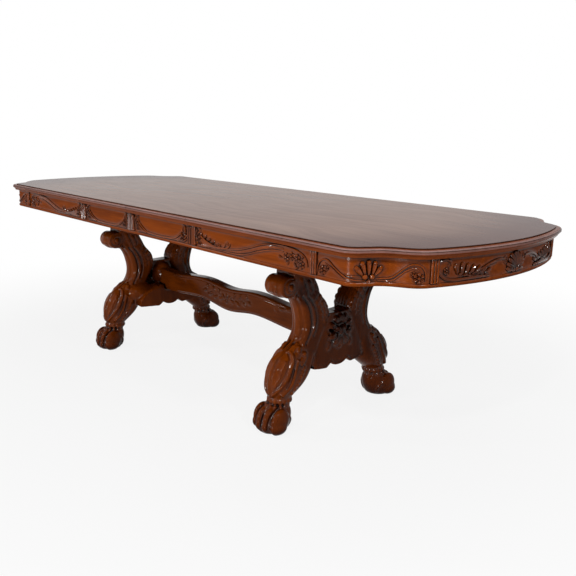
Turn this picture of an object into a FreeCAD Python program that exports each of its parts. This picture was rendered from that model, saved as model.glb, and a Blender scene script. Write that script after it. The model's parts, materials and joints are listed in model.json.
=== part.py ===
import FreeCAD, Part
import math
import os

Vector = FreeCAD.Vector

# Extending dining table on two pierced pedestals, in millimetres, with both leaves in.
# Origin on the floor at the middle of the table, X along its length, front at -Y, Z up.

# Overall sizes
table_height = 770.0
table_width = 1022.0
leaf_length = 406.0
half_length = 966.0
board_thick = 28.0
seam_gap = 0.3
run_gap = 0.3
overrun = 5.0

# Serpentine corner of the top: rounded shoulder, hollow, rounded nose, then the bowed end
shoulder_radius = 64.0
shoulder_angle = 59.0
shoulder_run = 45.0
hollow_radius = 85.0
hollow_angle = 26.5
hollow_run = 25.0
nose_radius = 114.0
nose_angle = 70.0
corner_joint = 364.0

# Moulded edge of the top, as distances in from the outline and down from the surface
edge_field = 18.0
edge_inner = 25.0
edge_step = 3.0
edge_cove = 10.0
curl_share = 0.72
cove_in_share = 0.5
cove_drop_share = 0.3
lip_bottom = 15.0
lip_top = 9.0

# Aprons under the top, with a bead along the bottom
apron_height = 82.0
apron_thick = 22.0
overhang = 27.0
bead_height = 13.0
bead_out = 4.0
corner_block_reach = 110.0
corner_block_height = 60.0

# Reeded pilasters that cover the joints of the aprons
pilaster_width = 26.0
pilaster_base = 2.5
reed_count = 3
pilaster_top_gap = 1.0

# Pedestals
pedestal_place = 613.0
leg_spread = 290.0
leg_half_width = 48.0
volute_drop = 133.0
volute_place = 255.0
volute_radius = 38.0
volute_length = 104.0
volute_round = 11.0
head_inner = 142.0
head_outer = 236.0
head_height = 133.0
foot_radius = 58.0
foot_height = 92.0
toe_length = 70.0
toe_width = 41.0
toe_height = 50.0
toe_count = 4
toe_pitch = 34.0
toe_reach = 27.0
toe_setback = 15.0
glide_radius = 16.0
glide_thick = 3.0

# Pierced panel between the legs of a pedestal; its heights follow the legs, so they are
# shares of leg_height
panel_outer = 32.0
panel_inner = 20.0
panel_dip = 6.0
pierce_place = 49.0
pierce_half_width = 22.0
cartouche_thick = 16.0
cartouche_width = 128.0
panel_top_share = 0.617
panel_bottom_share = 0.293
scallop_notch_share = 0.319
scallop_lobe_share = 0.295
pierce_height_share = 0.507
pierce_half_height_share = 0.0346
cartouche_height_share = 0.226
cartouche_drop_share = 0.066

# Stretcher between the pedestals, and the thick block at each of its ends that carries it;
# their heights follow the legs too
stretcher_thick = 62.0
stretcher_height = 98.0
stretcher_round = 12.0
stretcher_middle_share = 0.489
block_reach = 107.0
block_half_width = 168.0
block_neck = 55.0
block_shoulder_share = 0.353
block_top_share = 0.448

# Slide frame on the pedestals: bolsters, fixed rails, ties and the bar with the pinion
bolster_width = 92.0
bolster_height = 41.0
slide_height = 36.0
bolster_half_length = 252.0
bolster_taper = 30.0
bolster_end_height = 20.0
rail_place = 195.0
rail_thick = 30.0
rail_half_length = 855.0
rail_stop_length = 12.0
rail_top_gap = 0.2
groove_height = 10.0
groove_depth = 11.0
tie_width = 44.0
tie_height = 28.0
bar_width = 96.0
bar_height = 20.0
bolt_place = 160.0
bolt_spacing = 52.0
bolt_radius = 4.0
bolt_head_radius = 9.0
bolt_head_height = 4.0
bolt_length = 86.0
bolt_clearance = 0.25

# Equaliser: one pinion and two racks, so that both halves move by the same amount
gear_module = 4.0
pinion_teeth = 16
pressure_angle = 20.0
gear_thick = 12.0
backlash = 0.5
tip_clearance = 1.0
stud_radius = 6.0
stud_clearance = 0.1
stud_head_radius = 11.0
stud_head_height = 4.0
hub_radius = 17.0
hub_height = 3.0
rack_back = 11.0
rack_overlap_length = 62.0
rack_foot_place = 452.0
rack_foot_length = 56.0
rack_foot_width = 44.0
guide_width = 13.0

# Runners on each half, with a tongue in the groove of the fixed rail
runner_thick = 30.0
runner_height = 35.0
runner_start_gap = 15.0
runner_end_place = 1160.0
runner_taper = 30.0
tongue_end_place = 800.0

# Locks under the seams between halves and leaves
lock_gap = 30.7
lock_pivot = 30.0
lock_plate_length = 46.0
lock_plate_width = 34.0
lock_plate_thick = 2.0
lock_stud_radius = 4.0
lock_head_radius = 7.0
lock_head_height = 1.6
lock_lever_thick = 4.0
lock_hub_radius = 13.0
lock_reach = 46.0
lock_arm_width = 14.0
lock_hook_width = 6.0
lock_hook_angle = 24.0
lock_tail_length = 44.0
lock_tail_width = 11.0
lock_tab_height = 12.0
catch_radius = 3.0
catch_plate_length = 24.0
catch_stud_length = 11.0

# Locating pins in the seams, and battens under the leaves
pin_radius = 4.5
pin_length = 38.0
pin_stand_out = 12.0
pin_gap = 58.0
pin_clearance = 0.25
batten_thick = 18.0
batten_width = 50.0
batten_gap = 1.0
batten_end_gap = 6.0

# Sizes worked out from the ones above
board_bottom = table_height - board_thick
half_width = table_width / 2
half_tip = leaf_length + half_length
joint_x = half_tip - corner_joint
apron_back = overhang + apron_thick
apron_face_y = half_width - overhang
apron_bottom = board_bottom - apron_height
rail_bottom = board_bottom - slide_height
bolster_bottom = rail_bottom - bolster_height
leg_height = bolster_bottom
head_bottom = leg_height - head_height
volute_height = leg_height - volute_drop
panel_top = panel_top_share * leg_height
panel_bottom = panel_bottom_share * leg_height
scallop_notch = scallop_notch_share * leg_height
scallop_lobe = scallop_lobe_share * leg_height
pierce_height = pierce_height_share * leg_height
pierce_half_height = pierce_half_height_share * leg_height
cartouche_height = cartouche_height_share * leg_height
cartouche_drop = cartouche_drop_share * leg_height
stretcher_middle = stretcher_middle_share * leg_height
block_shoulder = block_shoulder_share * leg_height
block_top = block_top_share * leg_height
rail_top = board_bottom - rail_top_gap
rail_inner = rail_place - rail_thick / 2
rail_outer = rail_place + rail_thick / 2
runner_outer = rail_outer + run_gap + runner_thick
lock_place = runner_outer + lock_gap + lock_reach + lock_hook_width / 2
pin_side = lock_place + lock_plate_width / 2 + pin_gap
pitch_radius = gear_module * pinion_teeth / 2
tooth_pitch = math.pi * gear_module


# Outlines are drawn from a start point by pieces: a line to one point, an arc through the
# first of two points, or a smooth curve through three points or more.
def outline_wire(place, start, pieces):
    edges = []
    last = place(*start)
    for piece in pieces:
        points = [place(*point) for point in piece]
        if len(points) == 1:
            edges.append(Part.makeLine(last, points[0]))
        elif len(points) == 2:
            edges.append(Part.Arc(last, points[0], points[1]).toShape())
        else:
            curve = Part.BSplineCurve()
            curve.interpolate([last] + points)
            edges.append(curve.toShape())
        last = points[-1]
    if last.distanceToPoint(place(*start)) > 0:
        edges.append(Part.makeLine(last, place(*start)))
    return Part.Wire(edges)


def outline_face(place, start, pieces):
    return Part.Face(outline_wire(place, start, pieces))


def box(x0, x1, y0, y1, z0, z1):
    return Part.makeBox(x1 - x0, y1 - y0, z1 - z0, Vector(x0, y0, z0))


def post(radius, x, y, z0, z1):
    return Part.makeCylinder(radius, z1 - z0, Vector(x, y, z0))


def join(shapes):
    return shapes[0].multiFuse(shapes[1:]).removeSplitter()


def mirrored(shape, across_x, across_y):
    if across_x:
        shape = shape.mirror(Vector(0, 0, 0), Vector(1, 0, 0))
    if across_y:
        shape = shape.mirror(Vector(0, 0, 0), Vector(0, 1, 0))
    return shape


def group(solids):
    return Part.makeCompound(solids)


def save(name, shape):
    shape.exportStep("parts/" + name + ".step")
    print(name, len(shape.Solids), round(shape.Volume / 1000), shape.isValid())


# Plan of the right end, walked from the front side round to the back side
def end_turns():
    hollow_turn = shoulder_angle - hollow_angle
    nose_turn = nose_angle - hollow_angle
    bow_turn = 2 * (90 - nose_angle)
    side = [
        ("arc", shoulder_radius, shoulder_angle),
        ("line", shoulder_run, 0),
        ("arc", hollow_radius, -hollow_turn),
        ("line", hollow_run, 0),
        ("arc", nose_radius, nose_turn),
    ]
    return side, bow_turn


def walk(steps, start, heading, offset):
    segments = []
    point = start
    for kind, size, turn in steps:
        angle = math.radians(heading)
        left = Vector(-math.sin(angle), math.cos(angle), 0)
        if kind == "line":
            end = point + Vector(math.cos(angle), math.sin(angle), 0) * size
            segments.append((kind, point, end, None, 0, heading))
        else:
            side = 1 if turn > 0 else -1
            radius = size - side * offset
            centre = point + left * (side * radius)
            half = turn_about(point, centre, turn / 2)
            end = turn_about(point, centre, turn)
            segments.append((kind, point, end, (centre, half), turn, heading))
        point = end
        heading += turn
    return segments


def turn_about(point, centre, degrees):
    angle = math.radians(degrees)
    arm = point - centre
    x = arm.x * math.cos(angle) - arm.y * math.sin(angle)
    y = arm.x * math.sin(angle) + arm.y * math.cos(angle)
    return centre + Vector(x, y, 0)


def corner_rise():
    side = end_turns()[0]
    return walk(side, Vector(0, 0, 0), 0, 0)[-1][2]


def bow_radius():
    return (half_width - corner_rise().y) / math.cos(math.radians(nose_angle))


def shoulder_x():
    bow_run = bow_radius() * (1 - math.sin(math.radians(nose_angle)))
    return half_tip - bow_run - corner_rise().x


def end_path(offset, start_x):
    side, bow_turn = end_turns()
    run = shoulder_x() - start_x
    bow = [("arc", bow_radius(), bow_turn)]
    steps = [("line", run, 0)] + side + bow + side[::-1] + [("line", run, 0)]
    return walk(steps, Vector(start_x, offset - half_width, 0), 0, offset)


def path_edges(segments):
    edges = []
    for kind, start, end, arc, turn, heading in segments:
        if kind == "line":
            edges.append(Part.makeLine(start, end))
        else:
            edges.append(Part.Arc(start, arc[1], end).toShape())
    return edges


def plan_block(offset, start_x, z0, z1):
    edges = path_edges(end_path(offset, start_x))
    back = edges[-1].Vertexes[-1].Point
    front = edges[0].Vertexes[0].Point
    edges.append(Part.makeLine(back, front))
    face = Part.Face(Part.Wire(edges))
    block = face.extrude(Vector(0, 0, z1 - z0))
    block.translate(Vector(0, 0, z0))
    return block


# A moulding is a profile of distance in from the outline and height, carried along the plan
def moulding(segment, start, pieces):
    kind, point, end, arc, turn, heading = segment
    angle = math.radians(heading)
    left = Vector(-math.sin(angle), math.cos(angle), 0)

    def place(inwards, z):
        return point + left * inwards + Vector(0, 0, z)

    face = outline_face(place, start, pieces)
    if kind == "line":
        return face.extrude(end - point)
    return face.revolve(arc[0], Vector(0, 0, 1), turn)


def edge_profile():
    top = table_height
    field = top - edge_step
    start = (edge_inner, board_bottom)
    curl = ((edge_field - edge_cove) / 3, top - lip_top + (lip_top - edge_step) * curl_share)
    cove_z = top - lip_bottom - (board_thick - lip_bottom) * cove_drop_share
    pieces = [
        [(edge_cove, board_bottom)],
        [(edge_cove * cove_in_share, cove_z), (0, top - lip_bottom)],
        [(0, top - lip_top)],
        [curl, (edge_field - edge_cove, field)],
        [(edge_field, field)],
        [(edge_field, top)],
        [(edge_inner, top)],
    ]
    return start, pieces


def apron_profile():
    start = (apron_back, apron_bottom)
    pieces = [
        [(overhang, apron_bottom)],
        [(overhang - bead_out, apron_bottom + bead_height / 2), (overhang, apron_bottom + bead_height)],
        [(overhang, board_bottom)],
        [(apron_back, board_bottom)],
    ]
    return start, pieces


# Tops
def pin_sockets(x, into):
    # Notches that are open below, so that a leaf lifts straight off the pins
    cuts = []
    radius = pin_radius + pin_clearance
    height = board_bottom + board_thick / 2
    depth = pin_stand_out + pin_clearance
    for y in (-pin_side, 0, pin_side):
        low = min(x, x + into * depth)
        slot = box(low, low + depth, y - radius, y + radius, board_bottom - overrun, height)
        crown = Part.makeCylinder(radius, depth, Vector(low, y, height), Vector(1, 0, 0))
        cuts += [slot, crown]
    return cuts


def half_top():
    start_x = leaf_length + seam_gap / 2
    start, pieces = edge_profile()
    rim = [moulding(segment, start, pieces) for segment in end_path(0, start_x)]
    field = plan_block(edge_inner, start_x, board_bottom, table_height)
    board = join([field] + rim)
    height = board_bottom + board_thick / 2
    depth = pin_length - pin_stand_out
    bores = []
    for y in (-pin_side, 0, pin_side):
        bores.append(Part.makeCylinder(pin_radius, depth, Vector(start_x, y, height), Vector(1, 0, 0)))
    return board.cut(bores)


def leaf_pins():
    pins = []
    height = board_bottom + board_thick / 2
    nose = pin_radius / 3
    start_x = leaf_length + seam_gap / 2 - pin_stand_out
    along = Vector(1, 0, 0)
    for y in (-pin_side, 0, pin_side):
        tip = Part.makeCone(pin_radius - nose, pin_radius, nose, Vector(start_x, y, height), along)
        root = Vector(start_x + nose, y, height)
        shaft = Part.makeCylinder(pin_radius, pin_length - nose, root, along)
        pins.append(shaft.fuse(tip).removeSplitter())
    return group(pins)


def leaf_board():
    start, pieces = edge_profile()
    length = leaf_length - seam_gap
    origin = Vector(seam_gap / 2, -half_width, 0)
    front = moulding(("line", origin, origin + Vector(length, 0, 0), None, 0, 0), start, pieces)
    inside = half_width - edge_inner
    field = box(seam_gap / 2, seam_gap / 2 + length, -inside, inside, board_bottom, table_height)
    board = join([field, front, mirrored(front, False, True)])
    return board.cut(pin_sockets(leaf_length - seam_gap / 2, -1))


# Aprons
def straight_apron(x0, x1):
    start, pieces = apron_profile()
    origin = Vector(x0, -half_width, 0)
    return moulding(("line", origin, Vector(x1, -half_width, 0), None, 0, 0), start, pieces)


def corner_apron():
    start, pieces = apron_profile()
    path = end_path(0, joint_x)
    return join([moulding(segment, start, pieces) for segment in path[:6]])


def end_apron():
    start, pieces = apron_profile()
    return moulding(end_path(0, joint_x)[6], start, pieces)


def corner_block():
    # Brace glued into the angle behind the serpentine corner
    inner = plan_block(apron_back, joint_x, board_bottom - corner_block_height, board_bottom)
    inside_y = half_width - apron_back
    corner = (shoulder_x() + corner_rise().x, -inside_y - overrun)
    side = (shoulder_x() - corner_block_reach / 3, -inside_y - overrun)
    end = (corner[0], -half_width + corner_rise().y - overrun)

    def place(x, y):
        return Vector(x, y, board_bottom - corner_block_height)

    wedge = outline_face(place, side, [[corner], [end]]).extrude(Vector(0, 0, corner_block_height))
    return inner.common(wedge)


def pilaster(point, heading):
    # Strip with upright reeds; its back lies on the apron's face at the given point
    height = board_bottom - pilaster_top_gap - apron_bottom - bead_height
    reed_radius = pilaster_width / (2 * reed_count)

    def place(across, out):
        return Vector(across, -out, 0)

    pieces = [[(-pilaster_width / 2, pilaster_base)]]
    for reed in range(reed_count):
        left = -pilaster_width / 2 + reed * 2 * reed_radius
        crown = (left + reed_radius, pilaster_base + reed_radius)
        pieces.append([crown, (left + 2 * reed_radius, pilaster_base)])
    pieces.append([(pilaster_width / 2, 0)])
    strip = outline_face(place, (-pilaster_width / 2, 0), pieces).extrude(Vector(0, 0, height))
    strip.rotate(Vector(0, 0, 0), Vector(0, 0, 1), heading)
    strip.translate(point + Vector(0, 0, apron_bottom + bead_height))
    return strip


def pilasters(with_seam):
    strips = []
    side_point = Vector(joint_x, -apron_face_y, 0)
    bow = end_path(overhang, joint_x)[6]
    along = pilaster_width / 2 / bow_radius()
    bow_point = turn_about(bow[1], bow[3][0], math.degrees(along))
    strips.append(pilaster(side_point, 0))
    strips.append(pilaster(bow_point, nose_angle + math.degrees(along)))
    if with_seam:
        seam_x = leaf_length + seam_gap / 2 + pilaster_width / 2
        strips.append(pilaster(Vector(seam_x, -apron_face_y, 0), 0))
    return group(strips + [mirrored(strip, False, True) for strip in strips])


# Legs: each is a loft through level sections; a row gives height, inner edge and outer edge
# as shares of leg_height and leg_spread, then width as a share of leg_half_width, then how
# round the corners are.
upper_leg_shares = [
    (0.824, 0.500, 0.800, 1.00, 0.30),
    (0.772, 0.407, 0.810, 1.00, 0.36),
    (0.706, 0.297, 0.665, 1.00, 0.42),
    (0.640, 0.190, 0.600, 1.00, 0.46),
    (0.574, 0.195, 0.572, 1.00, 0.46),
    (0.510, 0.270, 0.597, 1.00, 0.46),
    (0.450, 0.330, 0.690, 0.98, 0.50),
    (0.390, 0.400, 0.820, 0.96, 0.56),
]
knee_shares = [
    (0.470, 0.345, 0.640, 0.80, 0.80),
    (0.415, 0.360, 0.865, 1.00, 0.88),
    (0.350, 0.400, 1.000, 1.12, 0.90),
    (0.262, 0.520, 1.050, 1.14, 0.92),
    (0.200, 0.680, 1.035, 0.90, 0.95),
    (0.153, 0.775, 1.010, 0.66, 0.98),
    (0.112, 0.750, 1.040, 0.74, 0.98),
]
toe_sink_share = 0.44
heel_lean_share = 0.08
foot_shares = [
    (1.00, 0.64, 0.93),
    (0.82, 0.88, 0.95),
    (0.50, 1.00, 0.97),
    (0.20, 0.97, 0.98),
    (0.00, 0.86, 0.98),
]


def level_section(inner, outer, half_across, roundness, z):
    middle = -(inner + outer) / 2
    half_deep = (outer - inner) / 2
    radius = min(half_across, half_deep) * roundness
    a = half_across - radius
    b = half_deep - radius
    d = radius * math.sqrt(0.5)

    def place(x, y):
        return Vector(x, middle + y, z)

    pieces = [
        [(a, -half_deep)],
        [(a + d, -b - d), (half_across, -b)],
        [(half_across, b)],
        [(a + d, b + d), (a, half_deep)],
        [(-a, half_deep)],
        [(-a - d, b + d), (-half_across, b)],
        [(-half_across, -b)],
        [(-a - d, -b - d), (-a, -half_deep)],
    ]
    return outline_wire(place, (-a, -half_deep), pieces)


def leg_loft(table_of_shares):
    sections = []
    for height, inner, outer, width, roundness in table_of_shares:
        section = level_section(
            inner * leg_spread,
            outer * leg_spread,
            width * leg_half_width,
            roundness,
            height * leg_height,
        )
        sections.append(section)
    return Part.makeLoft(sections, True, False)


def volute():
    half = volute_length / 2
    rim = volute_radius - volute_round
    d = volute_round * math.sqrt(0.5)

    def place(x, r):
        return Vector(x, -volute_place, volute_height + r)

    pieces = [
        [(-half, rim)],
        [(-half + volute_round - d, rim + d), (-half + volute_round, volute_radius)],
        [(half - volute_round, volute_radius)],
        [(half - volute_round + d, rim + d), (half, rim)],
        [(half, 0)],
    ]
    profile = outline_face(place, (-half, 0), pieces)
    return profile.revolve(place(0, 0), Vector(1, 0, 0), 360)


def toe(index):
    # Knuckles side by side, the outer two set back a little
    stretch = FreeCAD.Matrix()
    stretch.scale(1, toe_length / toe_width, toe_height / toe_width)
    knuckle = Part.makeSphere(toe_width / 2).transformGeometry(stretch)
    across = index - (toe_count - 1) / 2
    back = toe_setback * (abs(across) / ((toe_count - 1) / 2)) ** 2
    y = back - leg_spread - toe_reach
    knuckle.translate(Vector(across * toe_pitch, y, glide_thick + toe_height * toe_sink_share))
    return knuckle


def paw():
    sections = []
    for height, width, roundness in foot_shares:
        reach = width * foot_radius
        middle = leg_spread * (1 - heel_lean_share * height)
        z = glide_thick + height * foot_height
        sections.append(level_section(middle - reach, middle + reach, reach, roundness, z))
    heel = Part.makeLoft(sections, True, False)
    return [heel] + [toe(index) for index in range(toe_count)]


def bolt_places():
    return [(-bolt_spacing / 2, bolt_place), (bolt_spacing / 2, bolt_place)]


def leg():
    head = box(-leg_half_width, leg_half_width, -head_outer, -head_inner, head_bottom, leg_height)
    pieces = [head, leg_loft(upper_leg_shares), leg_loft(knee_shares), volute()] + paw()
    body = join(pieces)
    span = 2 * foot_radius
    floor_cut = box(-span, span, -leg_spread - 2 * span, -leg_spread + 2 * span, -span, glide_thick)
    body = body.cut(floor_cut)
    bores = []
    hole = bolt_radius + bolt_clearance
    for x, y in bolt_places():
        bores.append(post(hole, x, -y, rail_bottom - bolt_length, leg_height + overrun))
    body = body.cut(bores)
    body.translate(Vector(pedestal_place, 0, 0))
    return body


# Panel outline: a side point is a share of the leg spread and of the height from the panel's
# bottom to its top. The sides run inside the legs and are then trimmed to them.
panel_side_shares = [
    (0.425, 0.67),
    (0.510, 0.42),
    (0.640, 0.12),
    (0.670, 0.07),
]
panel_corner_share = 0.30
flat_share = 0.228
notch_share = 0.145
lobe_side_share = 0.085
lobe_swell_share = 0.72
block_crown_share = 0.7
cartouche_shares = [
    (0.72, 0.93),
    (1.00, 0.60),
    (0.90, 0.28),
    (0.40, 0.10),
    (0.15, -0.06),
]


def scallops():
    # Lower edge from the front side to the back side: flat, notch, lobe, notch, flat
    flat = flat_share * leg_spread
    notch = notch_share * leg_spread
    lobe_side = lobe_side_share * leg_spread
    swell = scallop_notch - (scallop_notch - scallop_lobe) * lobe_swell_share
    return [
        [(flat, panel_bottom)],
        [(notch, scallop_notch)],
        [(lobe_side, swell), (0, scallop_lobe), (-lobe_side, swell), (-notch, scallop_notch)],
        [(-flat, panel_bottom)],
    ]


def panel(legs):
    rise = panel_top - panel_bottom
    thick = panel_outer + panel_inner
    sides = [(leg_spread * y, panel_bottom + rise * z) for y, z in panel_side_shares]
    shoulder = (panel_corner_share * leg_spread, panel_top)

    def place(y, z):
        return Vector(pedestal_place - panel_inner, y, z)

    pieces = [[(0, panel_top - panel_dip), shoulder]]
    pieces += [[point] for point in sides]
    pieces += scallops()
    pieces += [[(-y, z)] for y, z in sides[::-1]]
    blank = outline_face(place, (-shoulder[0], panel_top), pieces).extrude(Vector(thick, 0, 0))
    board = join([blank, cartouche()]).cut(legs + [pierce(-1), pierce(1)])
    return max(board.Solids, key=lambda solid: solid.Volume)


def pierce(side):
    depth = panel_outer + panel_inner + 2 * overrun
    middle = Vector(pedestal_place - panel_inner - overrun, side * pierce_place, pierce_height)
    rim = middle + Vector(0, 0, pierce_half_height)
    flank = middle + Vector(0, pierce_half_width, 0)
    longer, shorter = sorted([rim, flank], key=middle.distanceToPoint, reverse=True)
    oval = Part.Ellipse(longer, shorter, middle).toShape()
    return Part.Face(Part.Wire([oval])).extrude(Vector(depth, 0, 0))


def cartouche():
    # Raised shield for the carving on the outer face of the panel
    sunk = panel_outer / 2
    top = panel_top - panel_dip
    low = top - cartouche_height

    def place(y, z):
        return Vector(pedestal_place + panel_outer - sunk, y, z)

    half = [(cartouche_width / 2 * y, low + cartouche_height * z) for y, z in cartouche_shares]
    half.append((0, low - cartouche_drop))
    back = [(-y, z) for y, z in half[-2::-1]] + [(0, top)]
    points = half + back
    arcs = [points[index:index + 2] for index in range(0, len(points), 2)]
    return outline_face(place, (0, top), arcs).extrude(Vector(sunk + cartouche_thick, 0, 0))


def block(legs, beam):
    # Thick lower part of the pedestal behind the panel, with the same scalloped lower edge
    def place(y, z):
        return Vector(pedestal_place - block_reach, y, z)

    side = block_half_width
    low = panel_bottom + (scallop_notch - panel_bottom) / 2
    crown = block_shoulder + (block_top - block_shoulder) * block_crown_share
    pieces = [
        [(block_neck, block_top)],
        [((side + block_neck) / 2, crown), (side, block_shoulder)],
        [(side, low)],
    ]
    pieces += scallops()
    pieces += [
        [(-side, low)],
        [(-side, block_shoulder)],
        [(-(side + block_neck) / 2, crown), (-block_neck, block_top)],
    ]
    body = outline_face(place, (-block_neck, block_top), pieces)
    body = body.extrude(Vector(block_reach - panel_inner, 0, 0)).cut(legs + [beam])
    return max(body.Solids, key=lambda solid: solid.Volume)


# Stretcher: half of its wave, as shares of its half length and of its height
stretcher_top_shares = [(0.0, 0.47), (0.27, 0.61), (0.62, 0.48), (1.0, 0.56)]
stretcher_low_shares = [(1.0, -0.42), (0.62, -0.48), (0.27, -0.38), (0.0, -0.57)]


def stretcher():
    half = pedestal_place - panel_inner

    def place(x, z):
        return Vector(x, -stretcher_thick / 2, z)

    top = [(x * half, stretcher_middle + z * stretcher_height) for x, z in stretcher_top_shares]
    low = [(x * half, stretcher_middle + z * stretcher_height) for x, z in stretcher_low_shares]
    start = (-top[-1][0], top[-1][1])
    along = [(-x, z) for x, z in top[-2:0:-1]] + top
    back = low[1:] + [(-x, z) for x, z in low[-2::-1]]
    face = outline_face(place, start, [along, [low[0]], back])
    beam = face.extrude(Vector(0, stretcher_thick, 0))
    long_edges = [edge for edge in beam.Edges if edge.BoundBox.XLength > half]
    radius = min(stretcher_round, stretcher_thick / 3)
    return beam.makeFillet(radius, long_edges)


# Slide frame
def bolster():
    x0 = pedestal_place - bolster_width / 2

    def place(y, z):
        return Vector(x0, y, z)

    end_z = rail_bottom - bolster_end_height
    inner = bolster_half_length - bolster_taper
    pieces = [
        [(inner, bolster_bottom)],
        [(bolster_half_length, end_z)],
        [(bolster_half_length, rail_bottom)],
        [(-bolster_half_length, rail_bottom)],
        [(-bolster_half_length, end_z)],
    ]
    beam = outline_face(place, (-inner, bolster_bottom), pieces).extrude(Vector(bolster_width, 0, 0))
    cuts = []
    hole = bolt_radius + bolt_clearance
    sink = bolt_head_radius + run_gap
    head = rail_bottom - bolt_head_height - run_gap
    for x, y in bolt_places():
        centre_x = pedestal_place + x
        for side in (-1, 1):
            cuts.append(post(hole, centre_x, side * y, bolster_bottom - overrun, rail_bottom))
            cuts.append(post(sink, centre_x, side * y, head, rail_bottom + overrun))
    return beam.cut(cuts)


def bolster_bolts():
    bolts = []
    head = rail_bottom - bolt_head_height - run_gap
    for x, y in bolt_places():
        for side in (-1, 1):
            for end in (-1, 1):
                centre_x = end * pedestal_place + x
                shank = post(bolt_radius, centre_x, side * y, rail_bottom - bolt_length, head)
                cap = post(bolt_head_radius, centre_x, side * y, head, head + bolt_head_height)
                bolts.append(shank.fuse(cap).removeSplitter())
    return group(bolts)


def groove_middle():
    return (rail_bottom + rail_top) / 2


def slide_rail():
    rail = box(-rail_half_length, rail_half_length, -rail_outer, -rail_inner, rail_bottom, rail_top)
    low = groove_middle() - groove_height / 2
    reach = rail_half_length - rail_stop_length
    face = -rail_outer
    groove = box(-reach, reach, face - overrun, face + groove_depth, low, low + groove_height)
    return rail.cut(groove)


def rail_ties():
    ties = []
    x0 = rail_half_length - tie_width
    tie = box(x0, rail_half_length, -rail_inner, rail_inner, rail_bottom, rail_bottom + tie_height)
    return group([tie, mirrored(tie, True, False)])


def gear_bottom():
    return rail_bottom + run_gap + hub_height + bar_height / 2


def rack_back_place():
    return pitch_radius + gear_module + tip_clearance + rack_back


def pinion_bar():
    # Bar between the rails, with a raised guide behind each rack
    top = gear_bottom() - hub_height
    floor = gear_bottom() - run_gap
    low = top - bar_height
    guide = rack_back_place() + run_gap
    slab = box(-bar_width / 2, bar_width / 2, -rail_inner, rail_inner, low, top)
    solids = [slab]
    inner = pitch_radius + gear_module + tip_clearance
    for side in (-1, 1):
        y = sorted((side * guide, side * (guide + guide_width)))
        solids.append(box(-bar_width / 2, bar_width / 2, y[0], y[1], top, gear_bottom() + gear_thick))
        y = sorted((side * inner, side * guide))
        solids.append(box(-bar_width / 2, bar_width / 2, y[0], y[1], top, floor))
    hole = post(stud_radius, 0, 0, low - overrun, top + overrun)
    return join(solids).cut(hole)


def pinion_stud():
    base = gear_bottom() - hub_height - bar_height
    crown = gear_bottom() + gear_thick + run_gap
    shank = post(stud_radius, 0, 0, base, crown)
    cap = post(stud_head_radius, 0, 0, crown, crown + stud_head_height)
    return shank.fuse(cap).removeSplitter()


# Involute of the pinion's base circle: the point where it has reached the given radius
def involute_angle(radius):
    base = pitch_radius * math.cos(math.radians(pressure_angle))
    if radius <= base:
        return 0
    roll = math.sqrt((radius / base) ** 2 - 1)
    return roll - math.atan(roll)


flank_steps = 4


def pinion():
    tip = pitch_radius + gear_module
    root = pitch_radius - gear_module - tip_clearance
    base = pitch_radius * math.cos(math.radians(pressure_angle))
    half_tooth = (tooth_pitch / 2 - backlash / 2) / (2 * pitch_radius)

    def place(radius, angle):
        return Vector(radius * math.cos(angle), radius * math.sin(angle), gear_bottom())

    pieces = []
    start = None
    for tooth in range(pinion_teeth):
        middle = 2 * math.pi * tooth / pinion_teeth
        flank = []
        for step in range(flank_steps + 1):
            radius = base + (tip - base) * step / flank_steps
            flank.append((radius, half_tooth + involute_angle(pitch_radius) - involute_angle(radius)))
        rising = [(radius, middle - angle) for radius, angle in flank]
        falling = [(radius, middle + angle) for radius, angle in flank[::-1]]
        foot = (root, middle - flank[0][1])
        heel = (root, middle + flank[0][1])
        if start is None:
            start = foot
        else:
            gap = (root, middle - math.pi / pinion_teeth)
            pieces.append([gap, foot])
        pieces += [[point] for point in rising]
        pieces.append([(tip, middle), falling[0]])
        pieces += [[point] for point in falling[1:]]
        pieces.append([heel])
    pieces.append([(root, -math.pi / pinion_teeth), start])
    wheel = outline_face(place, start, pieces).extrude(Vector(0, 0, gear_thick))
    hub = post(hub_radius, 0, 0, gear_bottom() - hub_height + run_gap, gear_bottom())
    low = gear_bottom() - 2 * hub_height
    bore = post(stud_radius + stud_clearance, 0, 0, low, gear_bottom() + 2 * gear_thick)
    return wheel.fuse(hub).removeSplitter().cut(bore)


def rack():
    # Toothed bar of the right half: teeth face the pinion, a gap of theirs lies on X = 0
    tip_y = pitch_radius - gear_module
    root_y = pitch_radius + gear_module + tip_clearance
    back_y = rack_back_place()
    slope = math.tan(math.radians(pressure_angle))
    half_tooth = tooth_pitch / 4 - backlash / 4
    tip_half = half_tooth - gear_module * slope
    root_half = half_tooth + (gear_module + tip_clearance) * slope
    first = -int(rack_overlap_length / tooth_pitch)
    last = int((rack_foot_place - tooth_pitch) / tooth_pitch)

    def place(x, y):
        return Vector(x, y, gear_bottom())

    pieces = []
    for index in range(first, last):
        middle = (index + 0.5) * tooth_pitch
        pieces.append([(middle - root_half, root_y)])
        pieces.append([(middle - tip_half, tip_y)])
        pieces.append([(middle + tip_half, tip_y)])
        pieces.append([(middle + root_half, root_y)])
    pieces.append([(rack_foot_place, root_y)])
    pieces.append([(rack_foot_place, back_y)])
    pieces.append([(-rack_overlap_length, back_y)])
    bar = outline_face(place, (-rack_overlap_length, root_y), pieces).extrude(Vector(0, 0, gear_thick))
    foot_end = rack_foot_place + rack_foot_length
    foot_y = back_y - rack_foot_width
    foot = box(rack_foot_place, foot_end, foot_y, back_y, gear_bottom(), board_bottom)
    return bar.fuse(foot).removeSplitter()


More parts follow.
